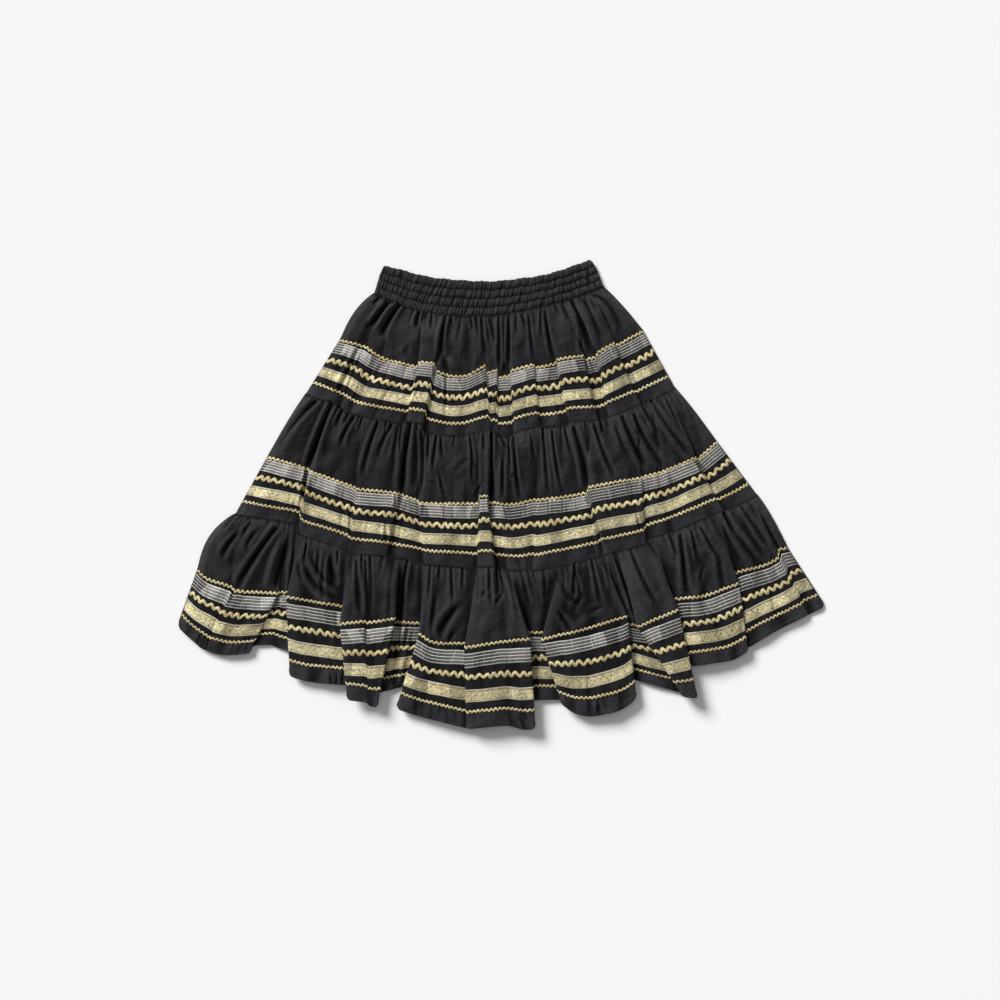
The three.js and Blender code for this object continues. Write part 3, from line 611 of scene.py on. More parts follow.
def fold_line(table):
    """Corner points of the folded cloth: top x, band x, y, foot x, y and level."""
    corners = []
    for k, fold in enumerate(table):
        band = (fold["band_x"], fold["band_left"], fold["band_right"], fold["band_lap"])
        foot = (fold["foot_x"], fold["foot_left"], fold["foot_right"], fold["foot_lap"])
        if k in (0, len(table) - 1):
            inward = EDGE_ROLL if k == 0 else -EDGE_ROLL
            level = table[0 if k == 0 else -2]["level"]
            beside = table[1 if k == 0 else -2]
            side = "left" if k == 0 else "right"
            slopes = [(beside[f"{line}_{side}"] - at[1]) / (beside[f"{line}_x"] - at[0])
                      for line, at in (("band", band), ("foot", foot))]
            edge = (fold["top_x"], band[0], band[1], foot[0], foot[1], FRONT_LOW)
            roll = (fold["top_x"] + inward * 0.6, band[0] + inward, band[1] + inward * slopes[0],
                    foot[0] + inward, foot[1] + inward * slopes[1], level)
            corners += [edge, roll] if k == 0 else [roll, edge]
            continue
        low, high = table[k - 1]["level"], fold["level"]
        over = high > low
        if band[3] == 0:
            half = STEP_HALF_WIDTH
            steps = [(-half, -half, low, 1), (half, half, high, 2)]
        else:
            left_turn = OUTER_TURN if over else -INNER_TURN
            right_turn = -INNER_TURN if over else OUTER_TURN
            turn = TURN_SPACING
            lap = (1, 0) if over else (0, -1)
            steps = [(-3 * turn, lap[0], low, 1), (-turn, lap[0], low + left_turn, 1),
                     (turn, lap[1], high + right_turn, 2), (3 * turn, lap[1], high, 2)]
        for top, move, level, side in steps:
            reach = (move, move) if band[3] == 0 else (move * band[3], move * foot[3])
            corners.append((fold["top_x"] + top, band[0] + reach[0], band[side],
                            foot[0] + reach[1], foot[side], level))
    return np.array(corners, dtype=float)


def fold_spans(tier, steps_too=False):
    """Where along the front each fold that laps, or that steps as well, starts and ends."""
    length = path_length(fold_line(tier["folds"]))
    spans, corner = [], 2
    for fold in tier["folds"][1:-1]:
        last = corner + (1 if fold["band_lap"] == 0 else 3)
        step = sum(abs(fold[f"{line}_left"] - fold[f"{line}_right"]) for line in ("band", "foot"))
        if fold["band_lap"] > 0 or (steps_too and step > LEAST_STEP):
            spans.append((length[corner], length[last]))
        corner = last + 1
    return spans


def path_length(corners):
    """Length along the folded cloth to each corner, midway between the band and the foot."""
    legs = [np.hypot(np.hypot(np.diff(corners[:, x]), np.diff(corners[:, x + 1])),
                     np.diff(corners[:, 5])) for x in (1, 3)]
    return np.concatenate([[0], np.cumsum((legs[0] + legs[1]) / 2)])


def ease(share):
    share = np.clip(share, 0, 1)
    return share * share * (3 - 2 * share)


def from_ends(along, reach):
    """0 at both ends of a run, and 1 from a given reach inside them."""
    return np.clip(np.minimum(along, along[-1] - along) / reach, 0, 1)


def tier_front(tier, seam_x, seam_y, seam_z):
    """Points of a tier's front, with the distance of each row from its top seam."""
    corners = fold_line(tier["folds"])
    height, band = tier["height"], tier["band"]
    length = path_length(corners)
    count = int(length[-1] / tier["spacing"])
    along = np.linspace(0, length[-1], count)
    top_x, band_x, band_y, foot_x, foot_y, level = (
        np.interp(along, length, column) for column in corners.T)
    part = np.searchsorted(length, along, side="right") - 1
    part = np.clip(part, 0, len(length) - 2)
    width = length[part + 1] - length[part]
    arch = ARCH_SHARE * np.clip(width - ARCH_LEAST, 0, ARCH_MOST)
    level = level + np.sin(np.pi * (along - length[part]) / width) * arch
    stack = np.stack([top_x, band_x, band_y, foot_x, foot_y, level], axis=1)[None]
    soft = smoothed(stack, tier["smooth"] / tier["spacing"])[0]
    loose = smoothed(stack, LOOSE_REACH / tier["spacing"])[0]
    firm = np.full(count, 1e3)
    for start, end in fold_spans(tier, steps_too=True):
        firm = np.minimum(firm, np.maximum(start - along, along - end))
    firm = np.clip(firm / FIRM_REACH, 0, 1)[:, None]
    foot = smoothed(stack, FOOT_REACH / tier["spacing"])[0]
    soft[:, 1:3] = (loose * firm + soft * (1 - firm))[:, 1:3]
    soft[:, 3:5] = (loose * firm + foot * (1 - firm))[:, 3:5]
    rim = from_ends(along, 6)[:, None]
    top_x, band_x, band_y, foot_x, foot_y, level = (stack[0] * (1 - rim) + soft * rim).T
    even = np.arange(EVEN_FROM, height - EVEN_TO, EVEN_SPACING)
    down = np.concatenate([SEAM_ROWS, even, height - FOOT_ROWS])
    share = down / height
    plain = np.clip(share / band, 0, 1)[:, None]
    trimmed = np.clip((share - band) / (1 - band), 0, 1)[:, None]
    top_y = np.interp(top_x, seam_x, seam_y)
    top_z = np.interp(top_x, seam_x, seam_z)
    points = np.zeros((len(down), count, 3))
    for axis, top, middle, foot in ((0, top_x, band_x, foot_x), (1, top_y, band_y, foot_y)):
        points[..., axis] = np.where(trimmed > 0, middle + (foot - middle) * trimmed,
                                     top + (middle - top) * plain)
    left, right = tier["bulge"]
    bow = np.sin(np.pi * plain ** 0.75)
    points[..., 0] += bow * (right * np.clip(1 - (top_x[-1] - top_x) / 60, 0, 1)
                             - left * np.clip(1 - (top_x - top_x[0]) / 60, 0, 1))
    inland = from_ends(along, 18) ** 0.7
    swell = np.sin(np.pi * np.sqrt(plain)) * tier["puff"] * inland
    points[..., 2] = top_z + (level - top_z) * ease(plain / 0.5) + swell
    return points, down, along


def creases(points, down, table):
    """Height of the long creases: each a narrow valley with a low ridge along both sides.

    One that starts at the seam above is deepest there; any other fades in from its start."""
    height = np.zeros(points.shape[:2])
    for x0, y0, x1, y1, bend, depth, width in table:
        run = np.array((x1 - x0, y1 - y0), dtype=float)
        size = np.linalg.norm(run)
        away = points[..., :2] - (x0, y0)
        start = np.argmin((away ** 2).sum(axis=2)) // points.shape[1]
        fade = 0.02 if down[start] < SEAM_REACH else 0.45
        share = np.clip(away @ run / size ** 2, 0, 1)
        aside = (away @ (run[1], -run[0])) / size - bend * 4 * share * (1 - share)
        past = away @ run / size - share * size
        off = np.hypot(aside, past) / (width * (0.75 + 0.5 * share))
        ridge = RIDGE_HEIGHT * np.exp(-((off - RIDGE_AWAY) / RIDGE_WIDTH) ** 2)
        valley = np.exp(-off ** 1.4)
        height += CREASE_DEPTH * depth * (ridge - valley) * (1 - share ** 4) * ease(share / fade)
    return height


def gathers(points, along, down, number):
    """Height of the small gathers at a seam: rounded puffs with sharp tucks between them."""
    chance = np.random.default_rng(number)
    height = np.zeros(points.shape[:2])
    scale = travel(points, 1)[:, -1] / along[-1]
    at = 4.0
    while at < along[-1] - 4:
        short = chance.random() < 0.55
        length = chance.uniform(7, 18) if short else 20 + 60 * chance.random() ** 2
        depth = GATHER_DEPTH * chance.uniform(1.3, 2.8)
        width = chance.uniform(1.1, 2.0)
        lean = chance.uniform(-0.08, 0.08)
        fade = np.clip(1 - down / length, 0, 1)[:, None] ** 1.3
        start = np.clip(down[:, None] / 2.4, 0, 1)
        off = np.abs((along - at) * scale[:, None] + lean * down[:, None]) / (
            width + 0.04 * down[:, None])
        height -= depth * np.exp(-off) * fade * (0.35 + 0.65 * start)
        at += chance.uniform(5.5, 14) / scale[0]
    rise = 1 - np.exp(-down / 2.5)
    return height + (GATHER_DEPTH * 1.5 * rise * np.exp(-down / 22))[:, None]


def slow_waves(along, down, number):
    """The slight unevenness of cotton that has been folded and laid out by hand."""
    down = down[:, None]
    slant = wander(along + 0.35 * down, (47, 0.5, number), (83, 0.5, 2 * number), (29, 0.28, 1))
    drop = wander(down + 0.2 * along, (61, 0.5, 1.3 * number), (37, 0.35, 0.4 + number))
    return slant * (0.6 + 0.4 * drop) + 0.35 * drop


def puckers(along, down, tier, number):
    """Short soft creases that the gathers leave in the trimmed part of a tier."""
    chance = np.random.default_rng(40 + number)
    start, end = (tier["trims"][key] * tier["height"] for key in ("upper", "lower"))
    height = np.zeros((len(down), len(along)))
    down = down[:, None]
    at = 10.0
    while at < along[-1] - 10:
        middle = chance.uniform(start, end)
        if not tier["foot_tucked"] and chance.random() < 0.35:
            middle = tier["height"] - 8
        reach = chance.uniform(14, 48)
        depth = 0.5 + 1.5 * chance.random() ** 2
        width = chance.uniform(1.3, 3.7)
        lean = chance.uniform(-0.15, 0.15)
        off = (along - at + lean * (down - middle)) / width
        height -= depth * np.exp(-off ** 2 - ((down - middle) / reach) ** 2)
        at += chance.uniform(7, 28)
    return height


def tier_painted_light(points, down, tier):
    """Painted light and shade over a tier: painted shade in creases, a painted shadow just under
    the seam above and painted shade on the ground between the trims, with patches painted paler or
    darker.
    """
    # Painted shade in the creases and painted light on the crests.
    painted_light_and_wear = 0.5 + 0.5 * np.tanh(relief(points, 5.0, 1.5) / 0.8)
    # Patches painted paler or darker where a panel of the cloth would catch or miss the light.
    for x, y, width, length, change in tier["faded"]:
        away = ((points[..., 0] - x) / width) ** 2 + ((points[..., 1] - y) / length) ** 2
        painted_light_and_wear = painted_light_and_wear + change * np.exp(-away)
    # A painted shadow just under the seam, where the piece above overhangs it.
    seam = np.interp(down, [2.2, 6.0], [0.0, 1])
    # Painted shade on the cloth between the trims.
    ground = [tier["trims"][key] * tier["height"] for key in ("upper", "lower")]
    ground = np.interp(down, [ground[0] - 5, ground[0] - 2, ground[1] + 2, ground[1] + 5],
                       [1, 0.36, 0.36, 1])
    return painted_light_and_wear * (seam * ground)[:, None]


def rounded_hem(points, along, down, tier):
    """Draws the hem up at the edge of each fold, where the turning cloth rounds its corner."""
    near = np.minimum(along, along[-1] - along)
    for start, end in fold_spans(tier):
        near = np.minimum(near, np.minimum(abs(along - start - 1.5), abs(along - end + 1.5)))
    upward = points[-len(FOOT_ROWS) - 1] - points[-1]
    upward = upward / np.linalg.norm(upward, axis=1, keepdims=True)
    drawn = ease((down - tier["height"] + HEM_DRAWN) / 17)[:, None]
    return upward * (drawn * corner_drop(near, HEM_CORNER))[..., None]


def tier_ring(tier, number, seam):
    """The middle of a tier's cloth: its folded front, then its smooth back."""
    points, down, along = tier_front(tier, *seam)
    calm = np.ones(len(along))
    for start, end in fold_spans(tier):
        beside = np.maximum(start - along, along - end)
        calm = np.minimum(calm, np.clip(beside / CALM_REACH, FOLD_CALM, 1))
    normal = normals_of(smoothed(points, 4.0 / tier["spacing"]), False)
    inland = from_ends(along, 10)
    height = gathers(points, along, down, number) + creases(points, down, tier["creases"])
    begun = 1 - np.exp(-down[:, None] / WAVE_REACH)
    height = height + slow_waves(along, down, number) * WAVE_DEPTH * begun
    height = height + puckers(along, down, tier, number)
    points = points + normal * (height * inland * calm)[..., None]
    if not tier["foot_tucked"]:
        points = points + rounded_hem(points, along, down, tier)
    floor = FRONT_LOW + 0.2
    points[..., 2] = np.where(points[..., 2] < floor, floor - (floor - points[..., 2]) * 0.1,
                              points[..., 2])
    columns = int((points[-1, -1, 0] - points[-1, 0, 0]) / BACK_SPACING)
    share = np.linspace(1, 0, columns + 2)[1:-1]
    left, right = points[:, :1], points[:, -1:]
    back = left * (1 - share[:, None]) + right * share[:, None]
    sag = tier["top_sag"] + (tier["foot_sag"] - tier["top_sag"]) * down / tier["height"]
    back[..., 1] -= sag[:, None] * np.sin(np.pi * share) ** 1.5
    back[..., 2] = BACK_Z
    return np.concatenate([points, back], axis=1), down, len(along)


def seam_under(points, fronts):
    """Where the next tier starts: along the front's foot, just under it."""
    foot = points[-1, :fronts]
    order = np.argsort(foot[:, 0])
    x, y, z = foot[order].T
    return x, y + SEAM_TUCK, np.maximum(z - SEAM_TUCK, FRONT_LOW)


tier_cloths, tier_points, tier_down = {}, {}, {}
sewn_on = {number: [] for number in TIERS}
band_foot = band_points[-1, :BAND_COLUMNS]
seam = (band_foot[:, 0], band_foot[:, 1] + SEAM_TUCK, np.full(BAND_COLUMNS, BAND_SEAM_Z))
for number, tier in TIERS.items():
    ring, down, fronts = tier_ring(tier, number, seam)
    tier_points[number], tier_down[number] = ring, down
    seam = seam_under(ring, fronts)
    above_foot = tier["height"] - down[:, None, None]
    roll = 0.0 if tier["foot_tucked"] else np.interp(above_foot, *np.array(HEM_ROLL).T)
    cloth = shell(f"tier_{number}_cloth", *wall_of(ring, CLOTH, roll), BLACK_COTTON)
    # Painted light and shade for the cloth's colour.
    store_painted_light(cloth, tier_painted_light(ring, down, tier))
    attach(cloth, "root")
    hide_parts(f"tier_{number}_front", f"tier_{number}_back")
    tier_cloths[number] = cloth

# ---------------------------------------------------------------------------------------
# Narrow rickrack: a flat woven zigzag of gold metallic yarn, sewn down its middle. Each tier
# has one row above its ribbons and one below them.
# ---------------------------------------------------------------------------------------
# How far a trim, or the waistband's thread, lies off the cloth so as not to sink into it.
TRIM_LIFT = 0.12
# The distance down the cloth over which its stretch is measured.
STRETCH_SPAN = 3


class Ring:
    """The finished cloth of a tier, for sewing trims on: points at any place on it."""

    def __init__(self, number):
        self.points = tier_points[number]
        self.normals = normals_of(smoothed(self.points, 0.7, True), True)
        self.down = tier_down[number]
        self.height = TIERS[number]["height"]
        self.columns = self.points.shape[1]

    def place(self, column, down, lift):
        """Points at fractional columns and distances down, raised off the cloth."""
        row = np.interp(down, self.down, np.arange(len(self.down)))
        top = np.clip(np.floor(row).astype(int), 0, len(self.down) - 2)
        left = np.floor(column).astype(int)
        lower_share, right_share = (row - top)[..., None], (column - left)[..., None]
        left, right = left % self.columns, (left + 1) % self.columns

        def at(grid):
            rows = [grid[r, left] * (1 - right_share) + grid[r, right] * right_share
                    for r in (top, top + 1)]
            return rows[0] * (1 - lower_share) + rows[1] * lower_share

        return at(self.points) + at(self.normals) * np.asarray(lift)[..., None]

    def line(self, share):
        """Length along the cloth at one height, at each column, and its stretch downwards."""
        columns = np.arange(self.columns + 1, dtype=float)
        down = np.full(self.columns + 1, share * self.height)
        path = self.place(columns, down, np.zeros(self.columns + 1))
        drop = self.place(columns, down + STRETCH_SPAN, np.zeros(self.columns + 1)) - path
        length = travel(path[None], 1)[0]
        stretch = np.clip(np.linalg.norm(drop, axis=1) / STRETCH_SPAN, 0.8, 1.6)
        return length, stretch

    def strip(self, share, along, across, lift):
        """Points at distances along and across a line at one height of the cloth."""
        length, stretch = self.line(share)
        column = np.interp(along, length, np.arange(self.columns + 1))
        column = np.where(column >= self.columns, column - self.columns, column)
        scale = np.interp(along, length, stretch)
        return self.place(column, share * self.height + across / scale, lift)

    def edge_line(self, share, side, rise):
        """A closed line at a distance to one side of a height, raised off the cloth."""
        length, _ = self.line(share)
        along = length[:-1][::2]
        return self.strip(share, along, side + drift(along, share), np.full(len(along), rise))


def drift(along, share):
    """How far a trim strays from its line, having been guided by hand."""
    return wander(along, (71, 0.3, 40 * share), (190, 0.55, 70 * share), (29, 0.15, 1.0))


rings = {number: Ring(number) for number in TIERS}


TWILL_SLOPE, TWILL_PITCH = 1.7308, 0.0012083


def gold_yarn(tree):
    """Yellow-gold yarn: paler where rubbed with wear, with painted glints of light, and painted
    brown shade between its strands.
    """
    along, across = along_and_across(tree)
    place = object_point(tree)
    twill = ripple(along + across * TWILL_SLOPE, TWILL_PITCH)
    glint = clamp((noise(tree, place, 900.0, 2.0, 0.8) - 0.48) * 5.0)
    painted_light_and_wear = noise(tree, place, 130.0, 4.0, 0.7)
    tarnished = clamp(noise(tree, place, 34.0, 2.0) * 5.0 - 2.3)
    colour = blend_colours(tree, clamp(painted_light_and_wear * 2.2 - 0.6), (0.56, 0.42, 0.15), (0.96, 0.86, 0.50))
    # Painted glints of light on the metallic yarn.
    colour = blend_colours(tree, glint * 0.75, colour, (1.0, 0.96, 0.70))
    # Painted brown shade between the strands.
    colour = blend_colours(tree, twill * 0.45, colour, (0.20, 0.13, 0.04))
    colour = blend_colours(tree, tarnished * 0.55, colour, (0.36, 0.25, 0.09))
    return {
        "Base Color": colour,
        "Roughness": 0.34 + painted_light_and_wear * 0.25,
        "Normal": bump(tree, twill + glint, 0.00018, 0.8),
    }


GOLD_YARN = finish_of("gold metallic rickrack", {"Metallic": 0.28, "Specular IOR Level": 0.5},
                      gold_yarn)


# Across each braid: places from one edge, -1, to the other, 1, and how much of the crown
# is reached there.
NARROW_SHAPE = [(-1, 0.25), (0, 1), (1, 0.25)]
WIDE_SHAPE = [(-1, 0.25), (-0.55, 1), (0.55, 1), (1, 0.25)]
BRAID_SHAPES = {"rickrack_upper": NARROW_SHAPE, "rickrack_lower": NARROW_SHAPE,
                "rickrack_wide": WIDE_SHAPE}
# How pointed a wave is, and how far from the join of its two ends a braid is fully uneven.
POINTED = 0.08
JOIN_REACH = 20


def rickrack(number, part, key, pitch, steps, swing, width, crown, uneven):
    """A closed wave of flat braid; swing is how far its middle moves to each side, and uneven
    is how much its waves are pulled about. Where its two ends are joined they are even."""
    ring, share = rings[number], TIERS[number]["trims"][key]
    length = ring.line(share)[0][-1]
    waves = round(length / pitch)
    along = np.arange(waves * steps) * length / (waves * steps)
    pulled = uneven * np.clip(np.minimum(along, length - along) / JOIN_REACH, 0, 1)
    turn = along * waves * 2 * np.pi / length
    turn = turn + pulled * wander(along, (53, 1.6, 90 * share), (31, 1.0, 50 * share))
    swing = swing * (1 + pulled * wander(along, (83, 0.5, 30 * share), (23, 0.5, 12 * share)))
    wave = swing * (np.sin(turn) - POINTED * np.sin(3 * turn))
    slope = swing * np.gradient(turn, along) * (np.cos(turn) - 3 * POINTED * np.cos(3 * turn))
    lean = 1 / np.hypot(1, slope)
    shape, raised = np.array(BRAID_SHAPES[part]).T
    across = shape[:, None] * width / 2
    rise = CLOTH / 2 + TRIM_LIFT + crown * raised[:, None] * (1 + 0.35 * np.cos(turn - 0.6))
    own_x = along - across * slope * lean
    own_y = wave + across * lean + drift(along, share)
    top = ring.strip(share, own_x % length, own_y, rise)
    under = ring.strip(share, own_x % length, own_y, 0 * own_x + CLOTH / 2 + TRIM_LIFT * 0.6)
    piece = shell(f"tier_{number}_{part}", top, under, GOLD_YARN,
                  np.tile(travel(np.stack([along, wave], -1)[None], 1)[0], (len(shape), 1)),
                  across * np.ones_like(own_x))
    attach(piece, "root")
    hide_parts(f"tier_{number}_{part}_front", f"tier_{number}_{part}_back")
    sewn_on[number].append(piece)


for number in TIERS:
    rickrack(number, "rickrack_upper", "upper",
             pitch=7.0, steps=8, swing=1.8, width=2.6, crown=0.45, uneven=0.2)
    rickrack(number, "rickrack_lower", "lower",
             pitch=6.6, steps=8, swing=1.7, width=2.5, crown=0.45, uneven=0.2)

# ---------------------------------------------------------------------------------------
# Wide rickrack: the same braid in its broad width, sewn on between the two ribbons.
# ---------------------------------------------------------------------------------------
for number in TIERS:
    rickrack(number, "rickrack_wide", "wide",
             pitch=11.2, steps=10, swing=3.0, width=4.5, crown=0.6, uneven=0.34)

# ---------------------------------------------------------------------------------------
# Silver ribbon: flat woven ribbon with fine raised metallic lines on a grey-mauve ground.
# ---------------------------------------------------------------------------------------
def facets(tree, along, place, pitch):
    """The flat lengths a stiff ribbon falls into: a painted brightness for each, standing for how
    it is tilted to the light, and a painted highlight along the creases between.
    """
    spot = along * (1 / pitch) + noise(tree, place, 13.0, 1.0) * 3.0
    length = spot.maths("FLOOR")
    # Each length gets a painted brightness, standing for how it is tilted to the light.
    shade = node(tree, "ShaderNodeTexWhiteNoise", {"noise_dimensions": "1D"}, {"W": length})
    off = spot - length
    # The second value is a painted highlight along the creases between lengths.
    return shade, clamp(1.25 - off.maths("MINIMUM", 1 - off) * pitch * 2200.0)


LINE_PITCH, WEFT_PITCH = 0.0042, 0.0007


def silver_weave(tree):
    """Bright lines along a crinkled ground; each length is painted darker or paler as if tilted to
    the light, with painted glints and a painted highlight along the creases between lengths.
    """
    along, across = along_and_across(tree)
    place = object_point(tree)
    shade, crease_highlight = facets(tree, along, place, 0.024)
    lines = clamp((across * (2 * math.pi / LINE_PITCH)).maths("COSINE") * 2.4 - 1.3)
    lines = lines.maths("MAXIMUM", clamp((abs(across) - 0.0084) * 2600.0))
    weft = ripple(along, WEFT_PITCH)
    cloudy = noise(tree, place, 70.0, 3.0)
    glint = clamp((noise(tree, place, 1100.0, 1.0, 0.8) - 0.5) * 5.0)
    stretched = node(tree, "ShaderNodeCombineXYZ", {}, {"X": along, "Y": across * 0.12})
    crinkle = clamp(noise(tree, stretched, 210.0, 3.0, 0.7) * 2.6 - 0.8)
    # The ground varies with its cloudy, crinkled weave and is painted near-black or pale grey with
    # each length's painted light.
    ground = blend_colours(tree, clamp(cloudy * 0.3 + crinkle * 0.4 + shade - 0.42),
                           (0.022, 0.018, 0.017), (0.25, 0.23, 0.215))
    # Painted highlight along the creases between lengths.
    lines = lines.maths("MAXIMUM", crease_highlight * 0.6)
    colour = blend_colours(tree, lines * (0.6 + weft * 0.4), ground, (0.95, 0.93, 0.87))
    # Painted glints of light.
    colour = blend_colours(tree, glint * 0.25, colour, (0.88, 0.87, 0.82))
    return {
        # Each length painted lighter or darker as a whole, as if tilted to the light.
        "Base Color": shaded(tree, colour, 0.64 + shade * 0.36),
        "Roughness": 0.36 + cloudy * 0.2,
        "Normal": bump(tree, lines * 1.2 + weft * 0.5 + crinkle * 1.5, 0.0003, 0.8),
    }


SILVER_WEAVE = finish_of("silver metallic ribbon", {"Metallic": 0.5, "Specular IOR Level": 0.5},
                         silver_weave)


# The ribbons of the lower tiers are cut from slightly wider stock.
RIBBON_WIDTHS = {1: 0.97, 2: 1.03, 3: 1.18}


def ribbon(number, part, key, profile, material):
    """A closed band of ribbon; profile lists distances across it and its height there."""
    ring, share = rings[number], TIERS[number]["trims"][key]
    length = ring.line(share)[0]
    along = length[:-1]
    across, heights = np.array(profile, dtype=float).T
    own_x = np.tile(along, (len(across), 1))
    own_y = np.repeat(across[:, None], len(along), 1)
    placed = own_y * RIBBON_WIDTHS[number] + drift(along, share)
    rise = CLOTH / 2 + TRIM_LIFT + heights[:, None] + 0 * own_x
    top = ring.strip(share, own_x, placed, rise)
    under = ring.strip(share, own_x, placed, CLOTH / 2 + TRIM_LIFT * 0.6 + 0 * own_x)
    piece = shell(f"tier_{number}_{part}", top, under, material, own_x, own_y)
    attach(piece, "root")
    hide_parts(f"tier_{number}_{part}_front", f"tier_{number}_{part}_back")
    sewn_on[number].append(piece)


SILVER_PROFILE = [(-9.2, 0.12), (-8.9, 0.32), (-4.5, 0.27), (0, 0.26), (4.5, 0.27),
                  (8.9, 0.32), (9.2, 0.12)]
for number in TIERS:
    ribbon(number, "silver_ribbon", "silver", SILVER_PROFILE, SILVER_WEAVE)

# ---------------------------------------------------------------------------------------
# Gold braid: a speckled gold metallic band between two raised silver edge cords.
# ---------------------------------------------------------------------------------------
CORD_PITCH, VINE_PITCH = 0.001496, 0.0096


def braid_weave(tree):
    """Gold with specks and a faint waving stem with a painted shadow beside it, and a twisted
    silver cord along each edge with painted shade in the groove inside it; each length is painted
    lighter or darker as if tilted to the light, with a painted highlight along the creases between
    lengths.
    """
    along, across = along_and_across(tree)
    place = object_point(tree)
    edge = clamp((abs(across) - 0.0067) * 3000.0)
    groove_shade = clamp(1.3 - abs(abs(across) - 0.0060) * 1800.0)
    vine = (along * (2 * math.pi / VINE_PITCH)).maths("SINE") * 0.0026
    wobble = noise(tree, place, 240.0, 2.0) * 0.003 - 0.0015
    off = abs(across - vine + wobble)
    stem = clamp(1.5 - off * 1200.0)
    shadow = clamp(1.5 - abs(off - 0.0020) * 1500.0)
    speck = clamp((noise(tree, place, 380.0, 2.0, 0.9) - 0.48) * 7.0)
    dark = clamp((noise(tree, place, 230.0, 2.0, 0.8) - 0.50) * 7.0)
    cloudy = noise(tree, place, 60.0, 3.0)
    shade, crease_highlight = facets(tree, along, place, 0.031)
    colour = blend_colours(tree, clamp(cloudy * 2.0 - 0.5), (0.40, 0.30, 0.10), (0.84, 0.73, 0.37))
    # Dark specks of the braid, and a painted shadow beside the stem.
    colour = blend_colours(tree, clamp(dark * 0.65 + shadow * 0.35), colour, (0.15, 0.105, 0.035))
    colour = blend_colours(tree, clamp(speck * 0.95 + stem * 0.4), colour, (1.0, 0.96, 0.72))
    # Painted shade in the groove inside each edge cord.
    colour = blend_colours(tree, groove_shade * 0.75, colour, (0.11, 0.08, 0.03))
    cord = ripple(along, CORD_PITCH)
    silver = blend_colours(tree, cord * 0.4, (0.84, 0.80, 0.66), (0.42, 0.39, 0.30))
    # Silver edge cords, and a painted highlight along the creases between lengths.
    colour = blend_colours(tree, edge.maths("MAXIMUM", crease_highlight * 0.5), colour, silver)
    return {
        # Each length painted lighter or darker as a whole, as if tilted to the light.
        "Base Color": shaded(tree, colour, 0.56 + shade * 0.44),
        "Roughness": 0.54 + cloudy * 0.2,
        "Normal": bump(tree, stem + speck + edge * cord, 0.0003, 0.8),
    }


BRAID_WEAVE = finish_of("gold braid with silver edges",
                        {"Metallic": 0.42, "Specular IOR Level": 0.3}, braid_weave)
BRAID_PROFILE = [(-8.2, 0.1), (-7.6, 0.56), (-6.6, 0.34), (-3.3, 0.36), (0, 0.34),
                 (3.3, 0.36), (6.6, 0.34), (7.6, 0.56), (8.2, 0.1)]
for number in TIERS:
    ribbon(number, "gold_braid", "braid", BRAID_PROFILE, BRAID_WEAVE)

# ---------------------------------------------------------------------------------------
# Sewing: rows of short black thread stitches along the waistband's channels, the hem and both
# edges of every ribbon and braid, all round the skirt.
# ---------------------------------------------------------------------------------------
STITCH_TREE_INPUTS = (("Line", "NodeSocketGeometry"), ("Spacing", "NodeSocketFloat"),
                      ("Stitch Length", "NodeSocketFloat"), ("Thread Radius", "NodeSocketFloat"),
                      ("Unevenness", "NodeSocketFloat"), ("Seed", "NodeSocketInt"),
                      ("Thread", "NodeSocketMaterial"))


def stitch_tree():
    """Lays a short rod of thread at even steps along a line and makes them all real."""
    tree = bpy.data.node_groups.new("stitches", "GeometryNodeTree")
    for name, kind in STITCH_TREE_INPUTS:
        tree.interface.new_socket(name, in_out="INPUT", socket_type=kind)
    tree.interface.new_socket("Stitches", in_out="OUTPUT", socket_type="NodeSocketGeometry")
    given = tree.nodes.new("NodeGroupInput").outputs
    line, spacing, length, radius, uneven, seed, thread = (
        Socket(tree, given[name]) for name, _ in STITCH_TREE_INPUTS)
    path = node(tree, "GeometryNodeMeshToCurve", {}, {"Mesh": line})
    path = node(tree, "GeometryNodeResampleCurve", {"mode": "LENGTH"},
                {"Curve": path, "Length": spacing})
    turn = node(tree, "FunctionNodeAlignRotationToVector", {"axis": "Z"},
                {"Vector": node(tree, "GeometryNodeInputTangent", {}, {})})
    size = node(tree, "FunctionNodeRandomValue", {"data_type": "FLOAT"},
                {2: 1.0 - uneven, 3: 1.0 + uneven, "Seed": seed}, 1)
    rod = node(tree, "GeometryNodeMeshCylinder", {"fill_type": "NGON"},
               {"Vertices": 3, "Radius": radius, "Depth": length})
    rods = node(tree, "GeometryNodeInstanceOnPoints", {},
                {"Points": path, "Instance": rod, "Rotation": turn, "Scale": size})
    real = node(tree, "GeometryNodeRealizeInstances", {}, {"Geometry": rods})
    done = node(tree, "GeometryNodeSetMaterial", {}, {"Geometry": real, "Material": thread})
    tree.links.new(done.link, tree.nodes.new("NodeGroupOutput").inputs[0])
    return tree


STITCHES = stitch_tree()
BLACK_THREAD = finish_of("black thread", {"Roughness": 0.6, "Specular IOR Level": 0.3,
                                          "Base Color": (0.012, 0.012, 0.013, 1)}, lambda tree: {})


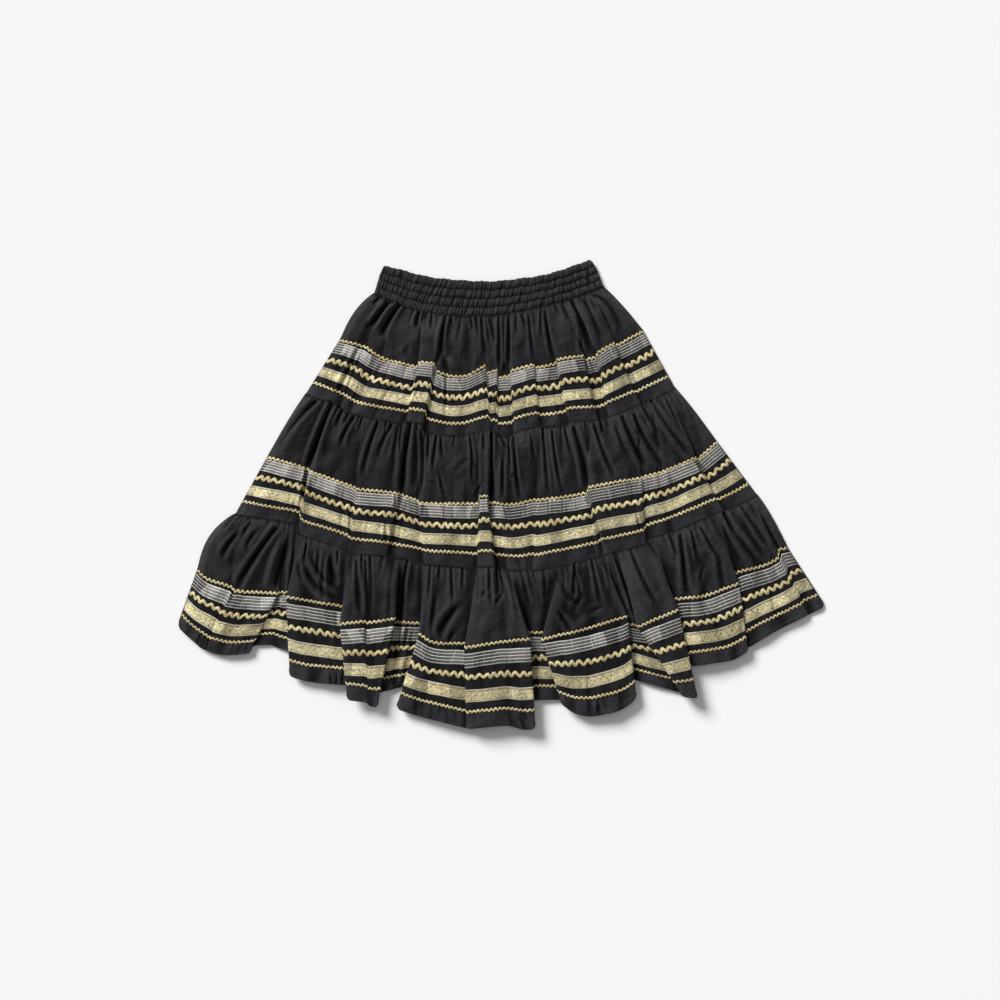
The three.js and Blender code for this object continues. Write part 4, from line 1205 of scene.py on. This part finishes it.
def sew(name, lines, spacing, length, radius, seed):
    """Stitches along closed lines of millimetre points, as one plain piece."""
    start, vertices, edges = 0, [], []
    for line in lines:
        count = len(line)
        index = np.arange(count) + start
        vertices.append(line * MM)
        edges.append(np.stack([index, np.roll(index, -1)], axis=1))
        start += count
    mesh = bpy.data.meshes.new(name)
    mesh.from_pydata(np.concatenate(vertices).tolist(), np.concatenate(edges).tolist(), [])
    guide = bpy.data.objects.new(name + "_line", mesh)
    bpy.context.collection.objects.link(guide)
    modifier = guide.modifiers.new("stitches", "NODES")
    modifier.node_group = STITCHES
    values = {"Spacing": spacing * MM, "Stitch Length": length * MM, "Thread Radius": radius * MM,
              "Unevenness": 0.12, "Seed": seed, "Thread": BLACK_THREAD}
    for socket in STITCHES.interface.items_tree:
        if socket.in_out == "INPUT" and socket.name in values:
            modifier[socket.identifier] = values[socket.name]
    ready = guide.evaluated_get(bpy.context.evaluated_depsgraph_get())
    made = bpy.data.objects.new(name, bpy.data.meshes.new_from_object(ready))
    bpy.context.collection.objects.link(made)
    bpy.data.objects.remove(guide)
    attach(made, "root")
    return made


channels = [round((BAND_ROWS - 1) * k / BAND_CHANNELS) for k in range(1, BAND_CHANNELS)]
band_normals = normals_of(smoothed(band_points, 2.0, True), True)
band_outside = band_points + band_normals * (BAND_THICKNESS / 2 + TRIM_LIFT)
band_stitches = sew("waistband_stitches", [band_outside[row] for row in channels],
                    spacing=3.2, length=2.3, radius=0.22, seed=1)
for number, tier in TIERS.items():
    ring = rings[number]
    lines = [ring.edge_line(tier["trims"][key], side, rise) for key, half, rise in
             (("silver", 8.5, 0.8), ("braid", 7.5, 1.0))
             for side in (-half * RIBBON_WIDTHS[number], half * RIBBON_WIDTHS[number])]
    sewn_on[number].append(sew(f"tier_{number}_ribbon_stitches", lines,
                               spacing=4.2, length=2.4, radius=0.16, seed=number))
hem = rings[3].edge_line(1.0, -5.4, 0.85)
sewn_on[3].append(sew("hem_stitches", [hem], spacing=3.6, length=2.5, radius=0.22, seed=9))

# ---------------------------------------------------------------------------------------
# Floor, light and camera: the skirt lies on a pale floor and is seen from straight above.
# ---------------------------------------------------------------------------------------
floor_mesh = bpy.data.meshes.new("floor")
floor_mesh.from_pydata([(-6, -6, -0.0005), (6, -6, -0.0005), (6, 6, -0.0005), (-6, 6, -0.0005)],
                       [], [(0, 1, 2, 3)])
floor = bpy.data.objects.new("floor", floor_mesh)
bpy.context.collection.objects.link(floor)
floor_mesh.materials.append(finish_of("floor", {"Roughness": 0.9, "Base Color": (0.9, 0.9, 0.9, 1)},
                                      lambda tree: {}))

world = bpy.data.worlds.new("studio")
world.use_nodes = True
world.node_tree.nodes["Background"].inputs[0].default_value = (1, 1, 1, 1)
world.node_tree.nodes["Background"].inputs[1].default_value = 0.24
bpy.context.scene.world = world


def lamp(name, kind, place, settings):
    data = bpy.data.lights.new(name, kind)
    for key, value in settings.items():
        setattr(data, key, value)
    made = bpy.data.objects.new(name, data)
    made.location = place
    made.rotation_mode = "QUATERNION"
    made.rotation_quaternion = (-Vector(place)).to_track_quat("-Z", "Y")
    bpy.context.collection.objects.link(made)


lamp("key", "SUN", (-1.9, 2.1, 1.9), {"energy": 4.1, "angle": math.radians(24)})
lamp("overhead", "AREA", (-0.3, 0.4, 3.2), {"energy": 8, "shape": "DISK", "size": 1.6})
bpy.context.scene.view_settings.view_transform = "Standard"

CAMERA_HEIGHT = 3.2
FRAME_WIDTH = 1.53
camera_data = bpy.data.cameras.new("camera")
camera_data.sensor_width = 36
camera_data.lens = camera_data.sensor_width * CAMERA_HEIGHT / FRAME_WIDTH
camera = bpy.data.objects.new("camera", camera_data)
camera.location = (-0.0023, -0.0084, CAMERA_HEIGHT)
bpy.context.collection.objects.link(camera)
bpy.context.scene.camera = camera
